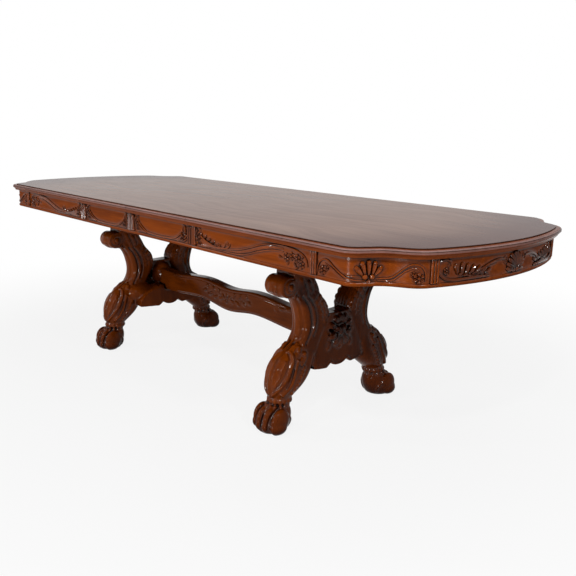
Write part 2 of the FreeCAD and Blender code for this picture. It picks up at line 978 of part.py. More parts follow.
def runner():
    inner = rail_outer + run_gap
    start_x = leaf_length + runner_start_gap
    low = board_bottom - runner_height

    def place(x, z):
        return Vector(x, -runner_outer, z)

    pieces = [
        [(runner_end_place - runner_taper, low)],
        [(runner_end_place, low + runner_taper / 2)],
        [(runner_end_place, board_bottom)],
        [(start_x, board_bottom)],
    ]
    bar = outline_face(place, (start_x, low), pieces).extrude(Vector(0, runner_thick, 0))
    half = groove_height / 2 - run_gap
    tongue = box(
        start_x,
        tongue_end_place,
        -inner,
        -rail_outer + groove_depth - run_gap,
        groove_middle() - half,
        groove_middle() + half,
    )
    return bar.fuse(tongue).removeSplitter()


# Locks
def lock_x():
    return leaf_length + lock_pivot


def lock_plate():
    low = board_bottom - lock_plate_thick
    x0 = leaf_length + seam_gap
    y0 = -lock_place - lock_plate_width / 2
    plate = box(x0, x0 + lock_plate_length, y0, y0 + lock_plate_width, low, board_bottom)
    neck = low - 2 * run_gap - lock_lever_thick
    stud = post(lock_stud_radius, lock_x(), -lock_place, neck, low)
    cap = post(lock_head_radius, lock_x(), -lock_place, neck - lock_head_height, neck)
    return join([plate, stud, cap])


def lock_catch():
    low = board_bottom - lock_plate_thick
    x1 = leaf_length - seam_gap
    y0 = -lock_place - lock_plate_width / 2
    plate = box(x1 - catch_plate_length, x1, y0, y0 + lock_plate_width, low, board_bottom)
    stud_x = lock_x() - (lock_reach - lock_hook_width / 2 - catch_radius)
    stud = post(catch_radius, stud_x, -lock_place, board_bottom - catch_stud_length, low)
    return plate.fuse(stud).removeSplitter()


def lock_lever():
    # Drawn closed, pointing at -X past the catch, then opened by a quarter turn or so
    top = board_bottom - lock_plate_thick - run_gap
    low = top - lock_lever_thick
    catch_arm = lock_reach - lock_hook_width / 2 - catch_radius
    hook_out = lock_reach + lock_hook_width / 2
    hook_in = hook_out - lock_hook_width + run_gap
    arm_half = lock_arm_width / 2
    lag = math.degrees(math.asin((arm_half + catch_radius + run_gap) / catch_arm))
    hub = post(lock_hub_radius, 0, 0, low, top)
    arm = box(-hook_out, 0, -arm_half, arm_half, low, top)
    ring = post(hook_out, 0, 0, low, top).cut(post(hook_in, 0, 0, low - overrun, top + overrun))
    sweep = math.radians(lag + lock_hook_angle / 2)
    far = 2 * hook_out

    def place(x, y):
        return Vector(x, y, low)

    slice_points = [[(-far, 0)], [(-far * math.cos(sweep), -far * math.sin(sweep))]]
    wedge = outline_face(place, (0, 0), slice_points).extrude(Vector(0, 0, lock_lever_thick))
    rounded = post(hook_out, 0, 0, low, top)
    tail_half = lock_tail_width / 2
    tail = box(0, lock_tail_length, -tail_half, tail_half, low, top)
    tab = box(
        lock_tail_length - lock_lever_thick,
        lock_tail_length,
        -tail_half,
        tail_half,
        low - lock_tab_height,
        low,
    )
    lever = join([hub, arm.common(rounded), ring.common(wedge), tail, tab])
    lever = lever.cut(post(lock_stud_radius + stud_clearance, 0, 0, low - overrun, top + overrun))
    lever.rotate(Vector(0, 0, 0), Vector(0, 0, 1), -90)
    lever.translate(Vector(lock_x(), -lock_place, 0))
    return lever


def leaf_battens():
    inner = rail_outer + batten_gap
    outer = half_width - apron_back - batten_end_gap
    middle = leaf_length / 2
    batten = box(
        middle - batten_width / 2,
        middle + batten_width / 2,
        -outer,
        -inner,
        board_bottom - batten_thick,
        board_bottom,
    )
    return group([batten, mirrored(batten, False, True)])


def glides():
    discs = []
    for side in (-1, 1):
        for end in (-1, 1):
            discs.append(post(glide_radius, end * pedestal_place, side * leg_spread, 0, glide_thick))
    return group(discs)


def build():
    os.makedirs("parts", exist_ok=True)
    ends = (("right", False), ("left", True))
    sides = (("front", False), ("back", True))

    front_leg = leg()
    pedestal_panel = panel([front_leg, mirrored(front_leg, False, True)])
    beam = stretcher()
    end_block = block([front_leg, mirrored(front_leg, False, True)], beam)
    right_bolster = bolster()
    save("stretcher", beam)
    save("pinion_bar", pinion_bar())
    save("pinion_stud", pinion_stud())
    save("pinion", pinion())
    save("rail_ties", rail_ties())
    save("bolster_bolts", bolster_bolts())
    save("foot_glides", glides())
    front_rail = slide_rail()
    for side, across in sides:
        save("slide_rail_" + side, mirrored(front_rail, False, across))

    right_top = half_top()
    side_apron = straight_apron(leaf_length + seam_gap / 2, joint_x)
    bent_apron = corner_apron()
    bowed_apron = end_apron()
    brace = corner_block()
    braces = group([brace, mirrored(brace, False, True)])
    right_rack = rack()
    left_rack = right_rack.copy()
    left_rack.rotate(Vector(0, 0, 0), Vector(0, 0, 1), 180)
    front_runner = runner()
    plate = lock_plate()
    plates = group([plate, mirrored(plate, False, True)])
    pins = leaf_pins()
    right_leaf = leaf_board()
    leaf_apron = straight_apron(seam_gap / 2, leaf_length - seam_gap / 2)
    battens = leaf_battens()
    catch = lock_catch()
    catches = group([catch, mirrored(catch, False, True)])
    lever = lock_lever()

    for end, flip in ends:
        save("pedestal_panel_" + end, mirrored(pedestal_panel, flip, False))
        save("pedestal_block_" + end, mirrored(end_block, flip, False))
        save("bolster_" + end, mirrored(right_bolster, flip, False))
        save("top_" + end, mirrored(right_top, flip, False))
        save("end_apron_" + end, mirrored(bowed_apron, flip, False))
        save("corner_blocks_" + end, mirrored(braces, flip, False))
        save("pilasters_" + end, mirrored(pilasters(not flip), flip, False))
        save("rack_" + end, left_rack if flip else right_rack)
        save("lock_plates_" + end, mirrored(plates, flip, False))
        save("leaf_pins_" + end, mirrored(pins, flip, False))
        save("leaf_" + end, mirrored(right_leaf, flip, False))
        save("leaf_battens_" + end, mirrored(battens, flip, False))
        save("lock_catches_" + end, mirrored(catches, flip, False))
        for side, across in sides:
            tail = side + "_" + end
            save("leg_" + tail, mirrored(front_leg, flip, across))
            save("side_apron_" + tail, mirrored(side_apron, flip, across))
            save("corner_apron_" + tail, mirrored(bent_apron, flip, across))
            save("leaf_apron_" + tail, mirrored(leaf_apron, flip, across))
            save("runner_" + tail, mirrored(front_runner, flip, across))
            save("lock_lever_" + tail, mirrored(lever, flip, across))


build()
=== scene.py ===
import json
import math
import bpy
from mathutils import Matrix, Vector
from mathutils.bvhtree import BVHTree
from mathutils.kdtree import KDTree

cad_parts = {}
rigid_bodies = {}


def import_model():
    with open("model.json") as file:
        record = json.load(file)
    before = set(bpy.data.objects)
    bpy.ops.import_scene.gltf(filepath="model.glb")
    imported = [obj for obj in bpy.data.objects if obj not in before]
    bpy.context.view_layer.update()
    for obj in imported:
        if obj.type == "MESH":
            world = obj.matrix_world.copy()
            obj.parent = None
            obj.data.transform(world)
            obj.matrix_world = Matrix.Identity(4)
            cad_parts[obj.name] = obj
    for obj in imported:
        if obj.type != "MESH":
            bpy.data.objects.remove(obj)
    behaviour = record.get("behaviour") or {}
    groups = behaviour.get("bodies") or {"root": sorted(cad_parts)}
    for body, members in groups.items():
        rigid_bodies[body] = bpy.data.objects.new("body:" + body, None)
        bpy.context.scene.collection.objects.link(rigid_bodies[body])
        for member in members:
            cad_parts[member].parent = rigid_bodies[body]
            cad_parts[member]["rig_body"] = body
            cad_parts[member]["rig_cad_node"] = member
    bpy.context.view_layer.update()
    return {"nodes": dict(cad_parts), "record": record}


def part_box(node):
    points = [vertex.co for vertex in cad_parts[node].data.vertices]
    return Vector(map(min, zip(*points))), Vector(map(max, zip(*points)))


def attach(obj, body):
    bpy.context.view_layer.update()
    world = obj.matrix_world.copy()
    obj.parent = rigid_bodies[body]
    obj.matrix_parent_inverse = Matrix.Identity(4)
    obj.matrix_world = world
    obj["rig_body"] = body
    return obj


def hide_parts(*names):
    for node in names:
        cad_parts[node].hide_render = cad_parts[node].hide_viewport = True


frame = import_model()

# extending dining table: the frame brings the joinery, this script adds the carving and finishes


# small helpers
def selectOnly(*objs):
    for other in list(bpy.context.selected_objects):
        other.select_set(False)
    for obj in objs:
        obj.select_set(True)
    bpy.context.view_layer.objects.active = objs[0]


def settle(obj):
    selectOnly(obj)
    bpy.ops.object.transform_apply(location=True, rotation=True, scale=True)
    return obj


def copyOf(obj, name):
    twin = obj.copy()
    twin.data = obj.data.copy()
    twin.name = name
    bpy.context.scene.collection.objects.link(twin)
    return twin


def joinUp(name, parts):
    selectOnly(*parts)
    bpy.ops.object.join()
    parts[0].name = name
    parts[0].data.name = name
    return parts[0]


def move(obj, rule):
    # rule turns a flat place (along, out, up) into a place on the table
    for vertex in obj.data.vertices:
        along, back, up = vertex.co
        vertex.co = rule(along, -back, up)
    return obj


def mirrorOf(obj, name, alongX, acrossY):
    twin = copyOf(obj, name)
    twin.data.transform(Matrix.Diagonal((-1 if alongX else 1, -1 if acrossY else 1, 1, 1)))
    if alongX != acrossY:
        twin.data.flip_normals()
    return twin


def outwards(obj):
    selectOnly(obj)
    bpy.ops.object.mode_set(mode="EDIT")
    bpy.ops.mesh.select_all(action="SELECT")
    bpy.ops.mesh.remove_doubles(threshold=0.00002)
    bpy.ops.mesh.normals_make_consistent(inside=False)
    bpy.ops.object.mode_set(mode="OBJECT")
    return obj


def modify(obj, kind, **settings):
    modifier = obj.modifiers.new("step", kind)
    for key, value in settings.items():
        setattr(modifier, key, value)
    selectOnly(obj)
    bpy.ops.object.modifier_apply(modifier=modifier.name)


def paint(obj, finish):
    obj.data.materials.clear()
    obj.data.materials.append(finish)


# camera
view = dict(place=(2.34288, -1.79258, 1.0786), yaw=2.40468, pitch=-0.23523, roll=0.01564, lens=42.557)


def makeCamera():
    yaw, pitch, roll = view["yaw"], view["pitch"], view["roll"]
    ahead = Vector((math.cos(pitch) * math.cos(yaw), math.cos(pitch) * math.sin(yaw), math.sin(pitch)))
    side = ahead.cross(Vector((0, 0, 1))).normalized()
    rise = side.cross(ahead)
    right = side * math.cos(roll) + rise * math.sin(roll)
    up = rise * math.cos(roll) - side * math.sin(roll)
    turn = Matrix((right, up, -ahead)).transposed()
    bpy.ops.object.camera_add(location=view["place"], rotation=turn.to_euler())
    camera = bpy.context.object
    camera.name = "photoCamera"
    camera.data.lens = view["lens"]
    camera.data.sensor_width = 36
    camera.data.clip_end = 60
    bpy.context.scene.camera = camera


# shader maths
def operator(operation, swapped=False):
    def result(self, other=0):
        first, second = (other, self) if swapped else (self, other)
        return self.nodes.sum(operation, first, second)

    return result


class Value:
    def __init__(self, nodes, socket):
        self.nodes = nodes
        self.socket = socket

    __add__ = operator("ADD")
    __radd__ = operator("ADD", True)
    __sub__ = operator("SUBTRACT")
    __rsub__ = operator("SUBTRACT", True)
    __mul__ = operator("MULTIPLY")
    __gt__ = operator("GREATER_THAN")
    __lt__ = operator("LESS_THAN")
    __abs__ = operator("ABSOLUTE")
    __pow__ = operator("POWER")


class Nodes:
    def __init__(self, owner):
        owner.use_nodes = True
        self.tree = owner.node_tree
        self.tree.nodes.clear()

    def put(self, socket, value):
        if isinstance(value, Value):
            self.tree.links.new(value.socket, socket)
        else:
            socket.default_value = value

    def node(self, kind, settings=None, values=None, give=0):
        node = self.tree.nodes.new(kind)
        for key, setting in (settings or {}).items():
            setattr(node, key, setting)
        for key, value in (values or {}).items():
            self.put(node.inputs[key], value)
        return Value(self, node.outputs[give])

    def sum(self, operation, first, second):
        return self.node("ShaderNodeMath", dict(operation=operation), {0: first, 1: second})

    def outputs(self, value):
        # all outputs of the node behind a value
        return {socket.name: Value(self, socket) for socket in value.socket.node.outputs}

    def seen(self):
        # 1 for a look straight at it, in a mirror or through glass, 0 for the light
        rays = self.outputs(self.node("ShaderNodeLightPath"))
        bent = self.sum("MAXIMUM", rays["Is Glossy Ray"], rays["Is Transmission Ray"])
        return self.sum("MAXIMUM", rays["Is Camera Ray"], bent)


socketNames = dict(
    colour="Base Color",
    roughness="Roughness",
    metallic="Metallic",
    coat="Coat Weight",
    coatRoughness="Coat Roughness",
    specular="Specular IOR Level",
    normal="Normal",
)


class Finish(Nodes):
    def __init__(self, name):
        self.material = bpy.data.materials.new(name)
        super().__init__(self.material)
        self.surface = self.tree.nodes.new("ShaderNodeBsdfPrincipled")
        self.ending = self.tree.nodes.new("ShaderNodeOutputMaterial")
        self.tree.links.new(self.surface.outputs[0], self.ending.inputs[0])

    def set(self, **sockets):
        for key, value in sockets.items():
            self.put(self.surface.inputs[socketNames[key]], value)

    def place(self):
        return self.node("ShaderNodeTexCoord", give="Object")

    def axes(self, place):
        apart = self.outputs(self.node("ShaderNodeSeparateXYZ", None, {0: place}))
        return apart["X"], apart["Y"], apart["Z"]

    def distance(self, place, spot):
        # from a spot and from its mirror places on the other sides of the table
        folded = self.node("ShaderNodeVectorMath", dict(operation="ABSOLUTE"), {0: place})
        return self.node("ShaderNodeVectorMath", dict(operation="DISTANCE"), {0: folded, 1: spot}, 1)

    def stretched(self, place, scale):
        return self.node("ShaderNodeMapping", None, {"Vector": place, "Scale": scale})

    def noise(self, place, scale, detail=3, roughness=0.5):
        values = {"Vector": place, "Scale": scale, "Detail": detail, "Roughness": roughness}
        return self.node("ShaderNodeTexNoise", None, values)

    def grained(self, place, scale, detail=3, roughness=0.5):
        return self.noise(self.stretched(place, scale), 1, detail, roughness)

    def between(self, factor, first, second):
        values = {"Factor": factor, 6: first, 7: second}
        return self.node("ShaderNodeMix", dict(data_type="RGBA"), values, 2)

    def ramp(self, factor, stops):
        mixed = self.node("ShaderNodeValToRGB", None, {0: factor})
        elements = mixed.socket.node.color_ramp.elements
        while len(elements) < len(stops):
            elements.new(0.5)
        for element, (place, colour) in zip(elements, stops):
            element.position = place
            element.color = colour
        return mixed

    def softly(self, value, low, high):
        values = {"Value": value, "From Min": low, "From Max": high}
        return self.node("ShaderNodeMapRange", dict(interpolation_type="SMOOTHSTEP"), values)

    def openness(self, reach):
        # 1 where nothing stands within reach, lower the deeper a place lies
        return self.node("ShaderNodeAmbientOcclusion", dict(samples=8), {"Distance": reach}, "AO")

    def bump(self, height, strength, distance):
        values = {"Height": height, "Strength": strength, "Distance": distance}
        return self.node("ShaderNodeBump", None, values)


def rgb(red, green, blue):
    return (red, green, blue, 1)


def finer(grain):
    return tuple(5 * scale for scale in grain)


# lacquered cherry: streaky grain and dark glaze in whatever lies deep; on the stand, painted shade where
# it lies deep, in spots and on the paws
carvedLook = dict(
    light=(0.34, 0.066, 0.0042),
    dark=(0.17, 0.03, 0.0022),
    # painted shade for the stand: the colour laid where it lies deep, in dark spots and on the paws
    shaded=rgb(0.042, 0.0075, 0.0014),
    glaze=rgb(0.006, 0.0014, 0.0006),
    glazeReach=0.013,
    shadeReach=0.075,
    darkSpots=[(0.672, 0.0, 0.356, 0.072), (0.661, 0.165, 0.505, 0.066), (0.6, 0.0, 0.31, 0.085)],
    pawHeights=(0.07, 0.13),
    pawShade=0.45,
    roughness=0.12,
    reliefCoat=0.45,
    aprons=dict(grain=(3, 60, 60), tone=0.53, specular=0.0, coat=0.09, coatRoughness=0.28),
    pedestals=dict(grain=(22, 22, 3), tone=0.42, specular=0.03, coat=0.03, shadePainted=True),
    ornament=dict(grain=(14, 14, 14), tone=0.54, specular=0.05, coat=0.1),
    endOrnament=dict(grain=(14, 14, 14), tone=0.34, specular=0.05, coat=0.1),
    stretcher=dict(grain=(3, 24, 24), tone=0.28, specular=0.03, coat=0.03),
)


def paintedStandShade(finish, wood, place, cloud):
    look = carvedLook
    # painted shade: darker where the stand lies deep within the reach
    openness = finish.openness(look["shadeReach"])
    wood = finish.between(finish.softly(openness + (cloud - 0.5) * 0.2, 0.5, 0.97), look["shaded"], wood)
    # painted shade in spots: round the panel's leaf work, the heads of the legs and the middle of the
    # pedestal
    for x, y, z, reach in look["darkSpots"]:
        away = finish.distance(place, (x, y, z))
        wood = finish.between(finish.softly(away, reach * 0.55, reach), look["shaded"], wood)
    # painted shade, darker down on the paws
    abovePaw = finish.softly(finish.axes(place)[2], *look["pawHeights"])
    return finish.between(abovePaw * look["pawShade"] + (1 - look["pawShade"]), look["shaded"], wood)


def carvedWood(name, grain, tone, specular, coat, coatRoughness=0.08, shadePainted=False):
    look = carvedLook
    finish = Finish(name)
    place = finish.place()
    wide = finish.grained(place, grain)
    fine = finish.grained(place, finer(grain), 3, 0.6)
    cloud = finish.noise(place, 5, 2)
    streak = finish.softly(wide * 0.45 + fine * 0.3 + cloud * 0.35, 0.36, 0.76)
    light = rgb(*(tone * c for c in look["light"]))
    dark = rgb(*(tone * c for c in look["dark"]))
    wood = finish.between(streak, light, dark)
    if shadePainted:
        wood = paintedStandShade(finish, wood, place, cloud)
    hollow = finish.openness(look["glazeReach"])
    rubbed = finish.softly(hollow + (cloud - 0.5) * 0.15, 0.5, 0.94)
    # the lacquer is thick and bright where there is carving, thin on the plain faces
    relief = 1 - finish.softly(hollow, 0.84, 0.985)
    finish.set(
        colour=finish.between(rubbed, look["glaze"], wood),
        roughness=look["roughness"] + (fine - 0.5) * 0.05 + (1 - rubbed) * 0.1,
        specular=specular,
        coat=relief * (look["reliefCoat"] - coat) + coat,
        coatRoughness=coatRoughness,
        normal=finish.bump(fine, 0.05, 0.0004),
    )
    return finish.material


veneerLook = dict(
    light=rgb(0.225, 0.13, 0.092),
    middle=rgb(0.185, 0.1, 0.072),
    dark=rgb(0.14, 0.074, 0.054),
    end=rgb(0.06, 0.02, 0.018),
    endBand=(0.42, 0.04),
    mould=rgb(0.165, 0.036, 0.008),
    # painted light on the moulded edge: a painted highlight on the bead and on the lip, a near-black
    # painted shade line in the quirk, whose colour also darkens the edge's figure
    sheen=rgb(0.235, 0.14, 0.125),
    quirk=rgb(0.014, 0.005, 0.003),
    lip=rgb(0.175, 0.085, 0.07),
    steps=[(0.0036, "sheen"), (0.0072, "quirk"), (0.0088, "lip"), (0.0142, "mould")],
    field=0.0015,
    grooveReach=0.009,
    seam=0.0009,
    seamShade=rgb(0.012, 0.004, 0.002),
    roughness=0.17,
    specular=0.011,
)


def veneer():
    look = veneerLook
    finish = Finish("topVeneer")
    place = finish.place()
    x, y, z = finish.axes(place)
    wander = finish.noise(place, 1.6, 2)
    swayed = finish.node("ShaderNodeCombineXYZ", None, {0: x * 0.8, 1: y * 11 + wander * 3.4, 2: z})
    broad = finish.noise(swayed, 1.4, 5, 0.62)
    thin = finish.grained(place, (5, 150, 5), 3, 0.65)
    figure = finish.softly(broad * 0.55 + thin * 0.5, 0.35, 0.72)
    field = finish.ramp(figure, [(0, look["light"]), (0.5, look["middle"]), (1, look["dark"])])

    # darker towards the bowed ends
    radius = plan["bowRadius"]
    reach = ((abs(x) - (plan["tip"] - radius)) ** 2 + y ** 2) ** 0.5
    begin, stop = look["endBand"]
    nearEnd = finish.softly(reach + (broad - 0.5) * 0.12, radius - begin, radius - stop)
    laid = finish.between(nearEnd * 0.85, field, look["end"])

    # the moulded edge by its depth below the top: ledge and cove in the wood's colour, a painted highlight
    # on the bead and on the lip, a painted shade line in the quirk
    below = topBox[1].z - z
    edgeWoodAndLight = look["mould"]
    for depth, key in look["steps"]:
        edgeWoodAndLight = finish.between(below > depth, edgeWoodAndLight, look[key])
    edgeWoodAndLight = finish.between(figure * 0.35, edgeWoodAndLight, look["quirk"])
    wood = finish.between(below > look["field"], laid, edgeWoodAndLight)
    # painted shade in the grooves of the edge and round the field
    openness = finish.softly(finish.openness(look["grooveReach"]), 0.45, 0.95)
    wood = finish.between(openness, look["quirk"], wood)

    across = abs(x)
    nearSeam = (abs(across - leafBox[1].x) < look["seam"]) + (across < look["seam"])
    smudge = finish.noise(place, 7, 3)
    finish.set(
        colour=finish.between(nearSeam * 0.8, wood, look["seamShade"]),
        roughness=look["roughness"] + (smudge - 0.5) * 0.06 + (thin - 0.5) * 0.05,
        specular=look["specular"],
        normal=finish.bump(thin, 0.05, 0.0004),
    )
    return finish.material


beechLook = dict(grain=(5, 70, 70), light=rgb(0.4, 0.235, 0.115), dark=rgb(0.22, 0.115, 0.05))


def plainWood():
    look = beechLook
    finish = Finish("frameWood")
    place = finish.place()
    rings = finish.grained(place, look["grain"], 4, 0.6)
    pores = finish.grained(place, finer(look["grain"]), 2)
    shade = finish.softly(rings * 0.8 + pores * 0.2, 0.3, 0.75)
    finish.set(
        colour=finish.between(shade, look["light"], look["dark"]),
        roughness=0.5 + (pores - 0.5) * 0.2,
        specular=0.3,
        normal=finish.bump(pores, 0.2, 0.0005),
    )
    return finish.material


metalLook = dict(
    zincPlate=dict(
        light=rgb(0.6, 0.6, 0.61), dark=rgb(0.42, 0.42, 0.44), roughness=0.32, brush=(20, 300, 20)
    ),
    oldBrass=dict(
        light=rgb(0.62, 0.44, 0.17), dark=rgb(0.36, 0.24, 0.09), roughness=0.3, brush=(300, 20, 20)
    ),
)


def metal(name):
    look = metalLook[name]
    finish = Finish(name)
    place = finish.place()
    lines = finish.grained(place, look["brush"])
    stain = finish.noise(place, 30, 2)
    worn = finish.softly(lines * 0.6 + stain * 0.4, 0.35, 0.65)
    finish.set(
        colour=finish.between(worn, look["light"], look["dark"]),
        metallic=1.0,
        roughness=look["roughness"] + (lines - 0.5) * 0.2,
        normal=finish.bump(lines, 0.1, 0.0002),
    )
    return finish.material


nylonLook = dict(deep=rgb(0.028, 0.022, 0.018), raised=rgb(0.05, 0.042, 0.036), roughness=0.55)


def nylon():
    look = nylonLook
    finish = Finish("glideNylon")
    grit = finish.noise(finish.place(), 900, 2)
    finish.set(
        colour=finish.between(grit, look["deep"], look["raised"]),
        roughness=look["roughness"] + (grit - 0.5) * 0.2,
        normal=finish.bump(grit, 0.2, 0.0002),
    )
    return finish.material


# plan of the top's right end, walked along the front apron from the middle of the table
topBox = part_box("top_right")
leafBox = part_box("leaf_right")
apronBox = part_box("side_apron_front_right")
plan = dict(
    shoulder=(0.064, 59.0),
    shoulderRun=0.045,
    hollow=(0.085, 26.5),
    hollowRun=0.025,
    nose=(0.114, 70.0),
    overhang=0.027,
    bead=0.013,
    tip=topBox[1].x,
    halfWidth=topBox[1].y,
    apronLow=apronBox[0].z,
    apronTop=apronBox[1].z,
    seam=apronBox[0].x,
)


def endTurns():
    shoulder, hollow, nose = plan["shoulder"], plan["hollow"], plan["nose"]
    return [
        ("arc", shoulder[0], shoulder[1]),
        ("line", plan["shoulderRun"], 0),
        ("arc", hollow[0], hollow[1] - shoulder[1]),
        ("line", plan["hollowRun"], 0),
        ("arc", nose[0], nose[1] - hollow[1]),
    ]


def walk(steps, start, inset):
    legs, point, heading = [], Vector(start), 0.0
    for kind, size, turn in steps:
        ahead = Vector((math.cos(heading), math.sin(heading)))
        left = Vector((-ahead.y, ahead.x))
        if kind == "line":
            legs.append((kind, point.copy(), heading, None, size, 0))
            point = point + ahead * size
        else:
            hand = 1 if turn > 0 else -1
            radius = size - hand * inset
            centre = point + left * hand * radius
            swing = math.radians(turn)
            legs.append((kind, point.copy(), heading, centre, radius * abs(swing), swing))
            point = centre + Matrix.Rotation(swing, 2) @ (point - centre)
            heading += swing
    return legs, point


def planWalk():
    rise = walk(endTurns(), (0, 0), 0)[1]
    noseTurn = math.radians(plan["nose"][1])
    plan["bowRadius"] = (plan["halfWidth"] - rise.y) / math.cos(noseTurn)
    shoulderX = plan["tip"] - plan["bowRadius"] * (1 - math.sin(noseTurn)) - rise.x
    steps = [("line", shoulderX, 0)] + endTurns()
    steps.append(("arc", plan["bowRadius"], 180 - 2 * plan["nose"][1]))
    return walk(steps, (0, plan["overhang"] - plan["halfWidth"]), plan["overhang"])[0]


apronLegs = planWalk()
cornerEnd = sum(leg[4] for leg in apronLegs[:-1])
endMiddle = cornerEnd + apronLegs[-1][4] / 2


def onApron(along, out, up):
    rest = along
    for kind, point, heading, centre, length, swing in apronLegs:
        if rest <= length or centre is not None and length == apronLegs[-1][4]:
            break
        rest -= length
    if kind == "line":
        spot = point + Vector((math.cos(heading), math.sin(heading))) * rest
    else:
        part = swing * rest / length
        spot = centre + Matrix.Rotation(part, 2) @ (point - centre)
        heading += part
    face = Vector((math.sin(heading), -math.cos(heading)))
    spot = spot + face * out
    return Vector((spot.x, spot.y, up))


# carving tools
def sweep(knots, radius, roundness, steps):
    # a rod along a smooth line of knots, each a place and the share of the radius there
    bpy.ops.curve.primitive_bezier_curve_add(location=(0, 0, 0))
    curve = bpy.context.object
    curve.data.splines.clear()
    spline = curve.data.splines.new("BEZIER")
    spline.bezier_points.add(len(knots) - 1)
    for knot, (place, share) in zip(spline.bezier_points, knots):
        knot.co = place
        knot.handle_left_type = "AUTO"
        knot.handle_right_type = "AUTO"
        knot.radius = share
    curve.data.bevel_depth = radius
    curve.data.bevel_resolution = roundness
    curve.data.resolution_u = steps
    curve.data.use_fill_caps = True
    selectOnly(curve)
    bpy.ops.object.convert(target="MESH")
    return bpy.context.object


def tube(points, radius, shares=None):
    return sweep(list(zip(points, shares or [1] * len(points))), radius, 3, 6)


def ball(place, size, turn=(0, 0, 0)):
    bpy.ops.mesh.primitive_uv_sphere_add(
        segments=20, ring_count=12, radius=1, location=place, rotation=turn
    )
    bpy.context.object.scale = size
    return settle(bpy.context.object)


# flat ornaments are drawn with x along, z up and their front towards -y
def leant(along, up, lean, reach):
    # the place so far off in a direction that leans over by so many degrees
    angle = math.radians(lean)
    return along + reach * math.sin(angle), up + reach * math.cos(angle)


def strand(points, width, rise=None):
    # a rib; a point may carry the share of the width that the rib has there
    knots = [((point[0], 0, point[1]), point[2] if len(point) == 3 else 1) for point in points]
    rib = sweep(knots, width / 2, 2, 5)
    lift = (rise or width * 0.45) / (width / 2)
    for vertex in rib.data.vertices:
        vertex.co.y *= lift
    return rib


def petal(along, up, lean, length, width, rise, groove=0.45):
    # a leaf lobe: foot at (along, up), pointing up and leaning over by so many degrees
    bpy.ops.mesh.primitive_uv_sphere_add(segments=12, ring_count=9, radius=1, location=(0, 0, 0))
    lobe = bpy.context.object
    turn = Matrix.Rotation(math.radians(lean), 4, "Y")
    for vertex in lobe.data.vertices:
        x, y, z = vertex.co
        share = (z + 1) / 2
        swell = 0.55 + 0.75 * share
        ridge = 1 - groove * max(0, 1 - abs(x) / 0.45)
        bow = 1 + 0.35 * share
        vertex.co = turn @ Vector((x * swell * width / 2, y * rise * ridge * bow, share * length))
        vertex.co += Vector((along, 0, up))
    return lobe


def bud(along, up, radius, rise=None):
    bpy.ops.mesh.primitive_ico_sphere_add(subdivisions=2, radius=radius, location=(along, 0, up))
    knob = settle(bpy.context.object)
    for vertex in knob.data.vertices:
        vertex.co.y *= (rise or radius) / radius
    return knob


def rosette(along, up, radius):
    parts = [bud(along, up, radius * 0.34, radius * 0.62)]
    for lean in range(0, 360, 60):
        foot = leant(along, up, lean, radius * 0.12)
        parts.append(petal(*foot, lean, radius, radius * 0.82, radius * 0.42))
    return parts


def spiral(along, up, radius, turns, start, hand, width):
    # a curl that winds in from its rim; start is the angle of its outer end
    points = []
    steps = int(10 * turns) + 1
    for step in range(steps):
        share = step / (steps - 1)
        angle = math.radians(start + hand * 360 * turns * share)
        reach = radius * (1 - 0.82 * share)
        place = (along + reach * math.cos(angle), up + reach * math.sin(angle))
        points.append((*place, 1 - 0.45 * share))
    return strand(points, width)


palmetteLook = dict(
    petals=[(0, 1.0, 0), (14, 0.94, 0.009), (-14, 0.94, -0.009), (40, 0.76, 0.014), (-40, 0.76, -0.014)],
    width=0.36,
    rise=0.009,
    knob=0.15,
    knobRise=0.011,
)


def palmette(along, up, height):
    look = palmetteLook
    parts = []
    for lean, share, aside in look["petals"]:
        length = height * share
        parts.append(petal(along + aside, up, lean, length, height * look["width"], look["rise"], 0.3))
        tip = leant(along + aside, up, lean, length * 0.84)
        parts.append(bud(*tip, height * look["knob"], look["knobRise"]))
    for side in (-1, 1):
        parts.append(bud(along + side * 0.01, up - 0.001, 0.0088, 0.0115))
    parts.append(petal(along, up - 0.006, 180, 0.014, 0.016, 0.007))
    return parts


# apron carving
apronField = dict(
    low=plan["apronLow"] + plan["bead"] + 0.004,
    high=plan["apronTop"] - 0.004,
    gap=0.002,
    line=0.0058,
)

seamCarving = dict(
    reedPitch=0.0098,
    reedWidth=0.0078,
    reedRise=0.0085,
    foot=0.026,
    ribs=[(0.078, 0.05, 0.0085), (0.062, 0.036, 0.008), (0.046, 0.023, 0.0075), (0.03, 0.011, 0.007)],
    lobes=[(14, 0.034, 0.024), (40, 0.036, 0.02), (66, 0.04, 0.014), (88, 0.044, 0.008)],
)


def seamLeaf(edge, hand):
    # beside a seam: a bundle of reeds, a curled leaf, and the fan that the swag grows out of
    look = seamCarving
    low, high = apronField["low"], apronField["high"]
    parts = []
    for step in range(2):
        along = edge + hand * (0.0048 + look["reedPitch"] * step)
        reed = [(along, low - 0.003), (along, high - 0.003 * step)]
        parts.append(strand(reed, look["reedWidth"], look["reedRise"]))
        parts.append(bud(along, high - 0.004 - 0.003 * step, 0.005, 0.0092))
    foot = edge + hand * look["foot"]
    for reach, top, width in look["ribs"]:
        line = [
            (foot, low + top, 0.7),
            (foot + hand * reach * 0.28, low + top * 0.52, 1.1),
            (foot + hand * reach * 0.62, low + top * 0.16, 1.0),
            (foot + hand * reach, low - 0.001, 0.5),
        ]
        parts.append(strand(line, width, 0.0058))
    for lean, length, up in look["lobes"]:
        parts.append(petal(foot + hand * 0.002, low + up, hand * lean, length, 0.01, 0.0088))
    parts.append(spiral(foot + hand * 0.02, low + 0.05, 0.0085, 1.2, 90 + hand * 60, -hand, 0.0062))
    parts.append(bud(foot + hand * 0.004, low + 0.022, 0.0055))
    return parts


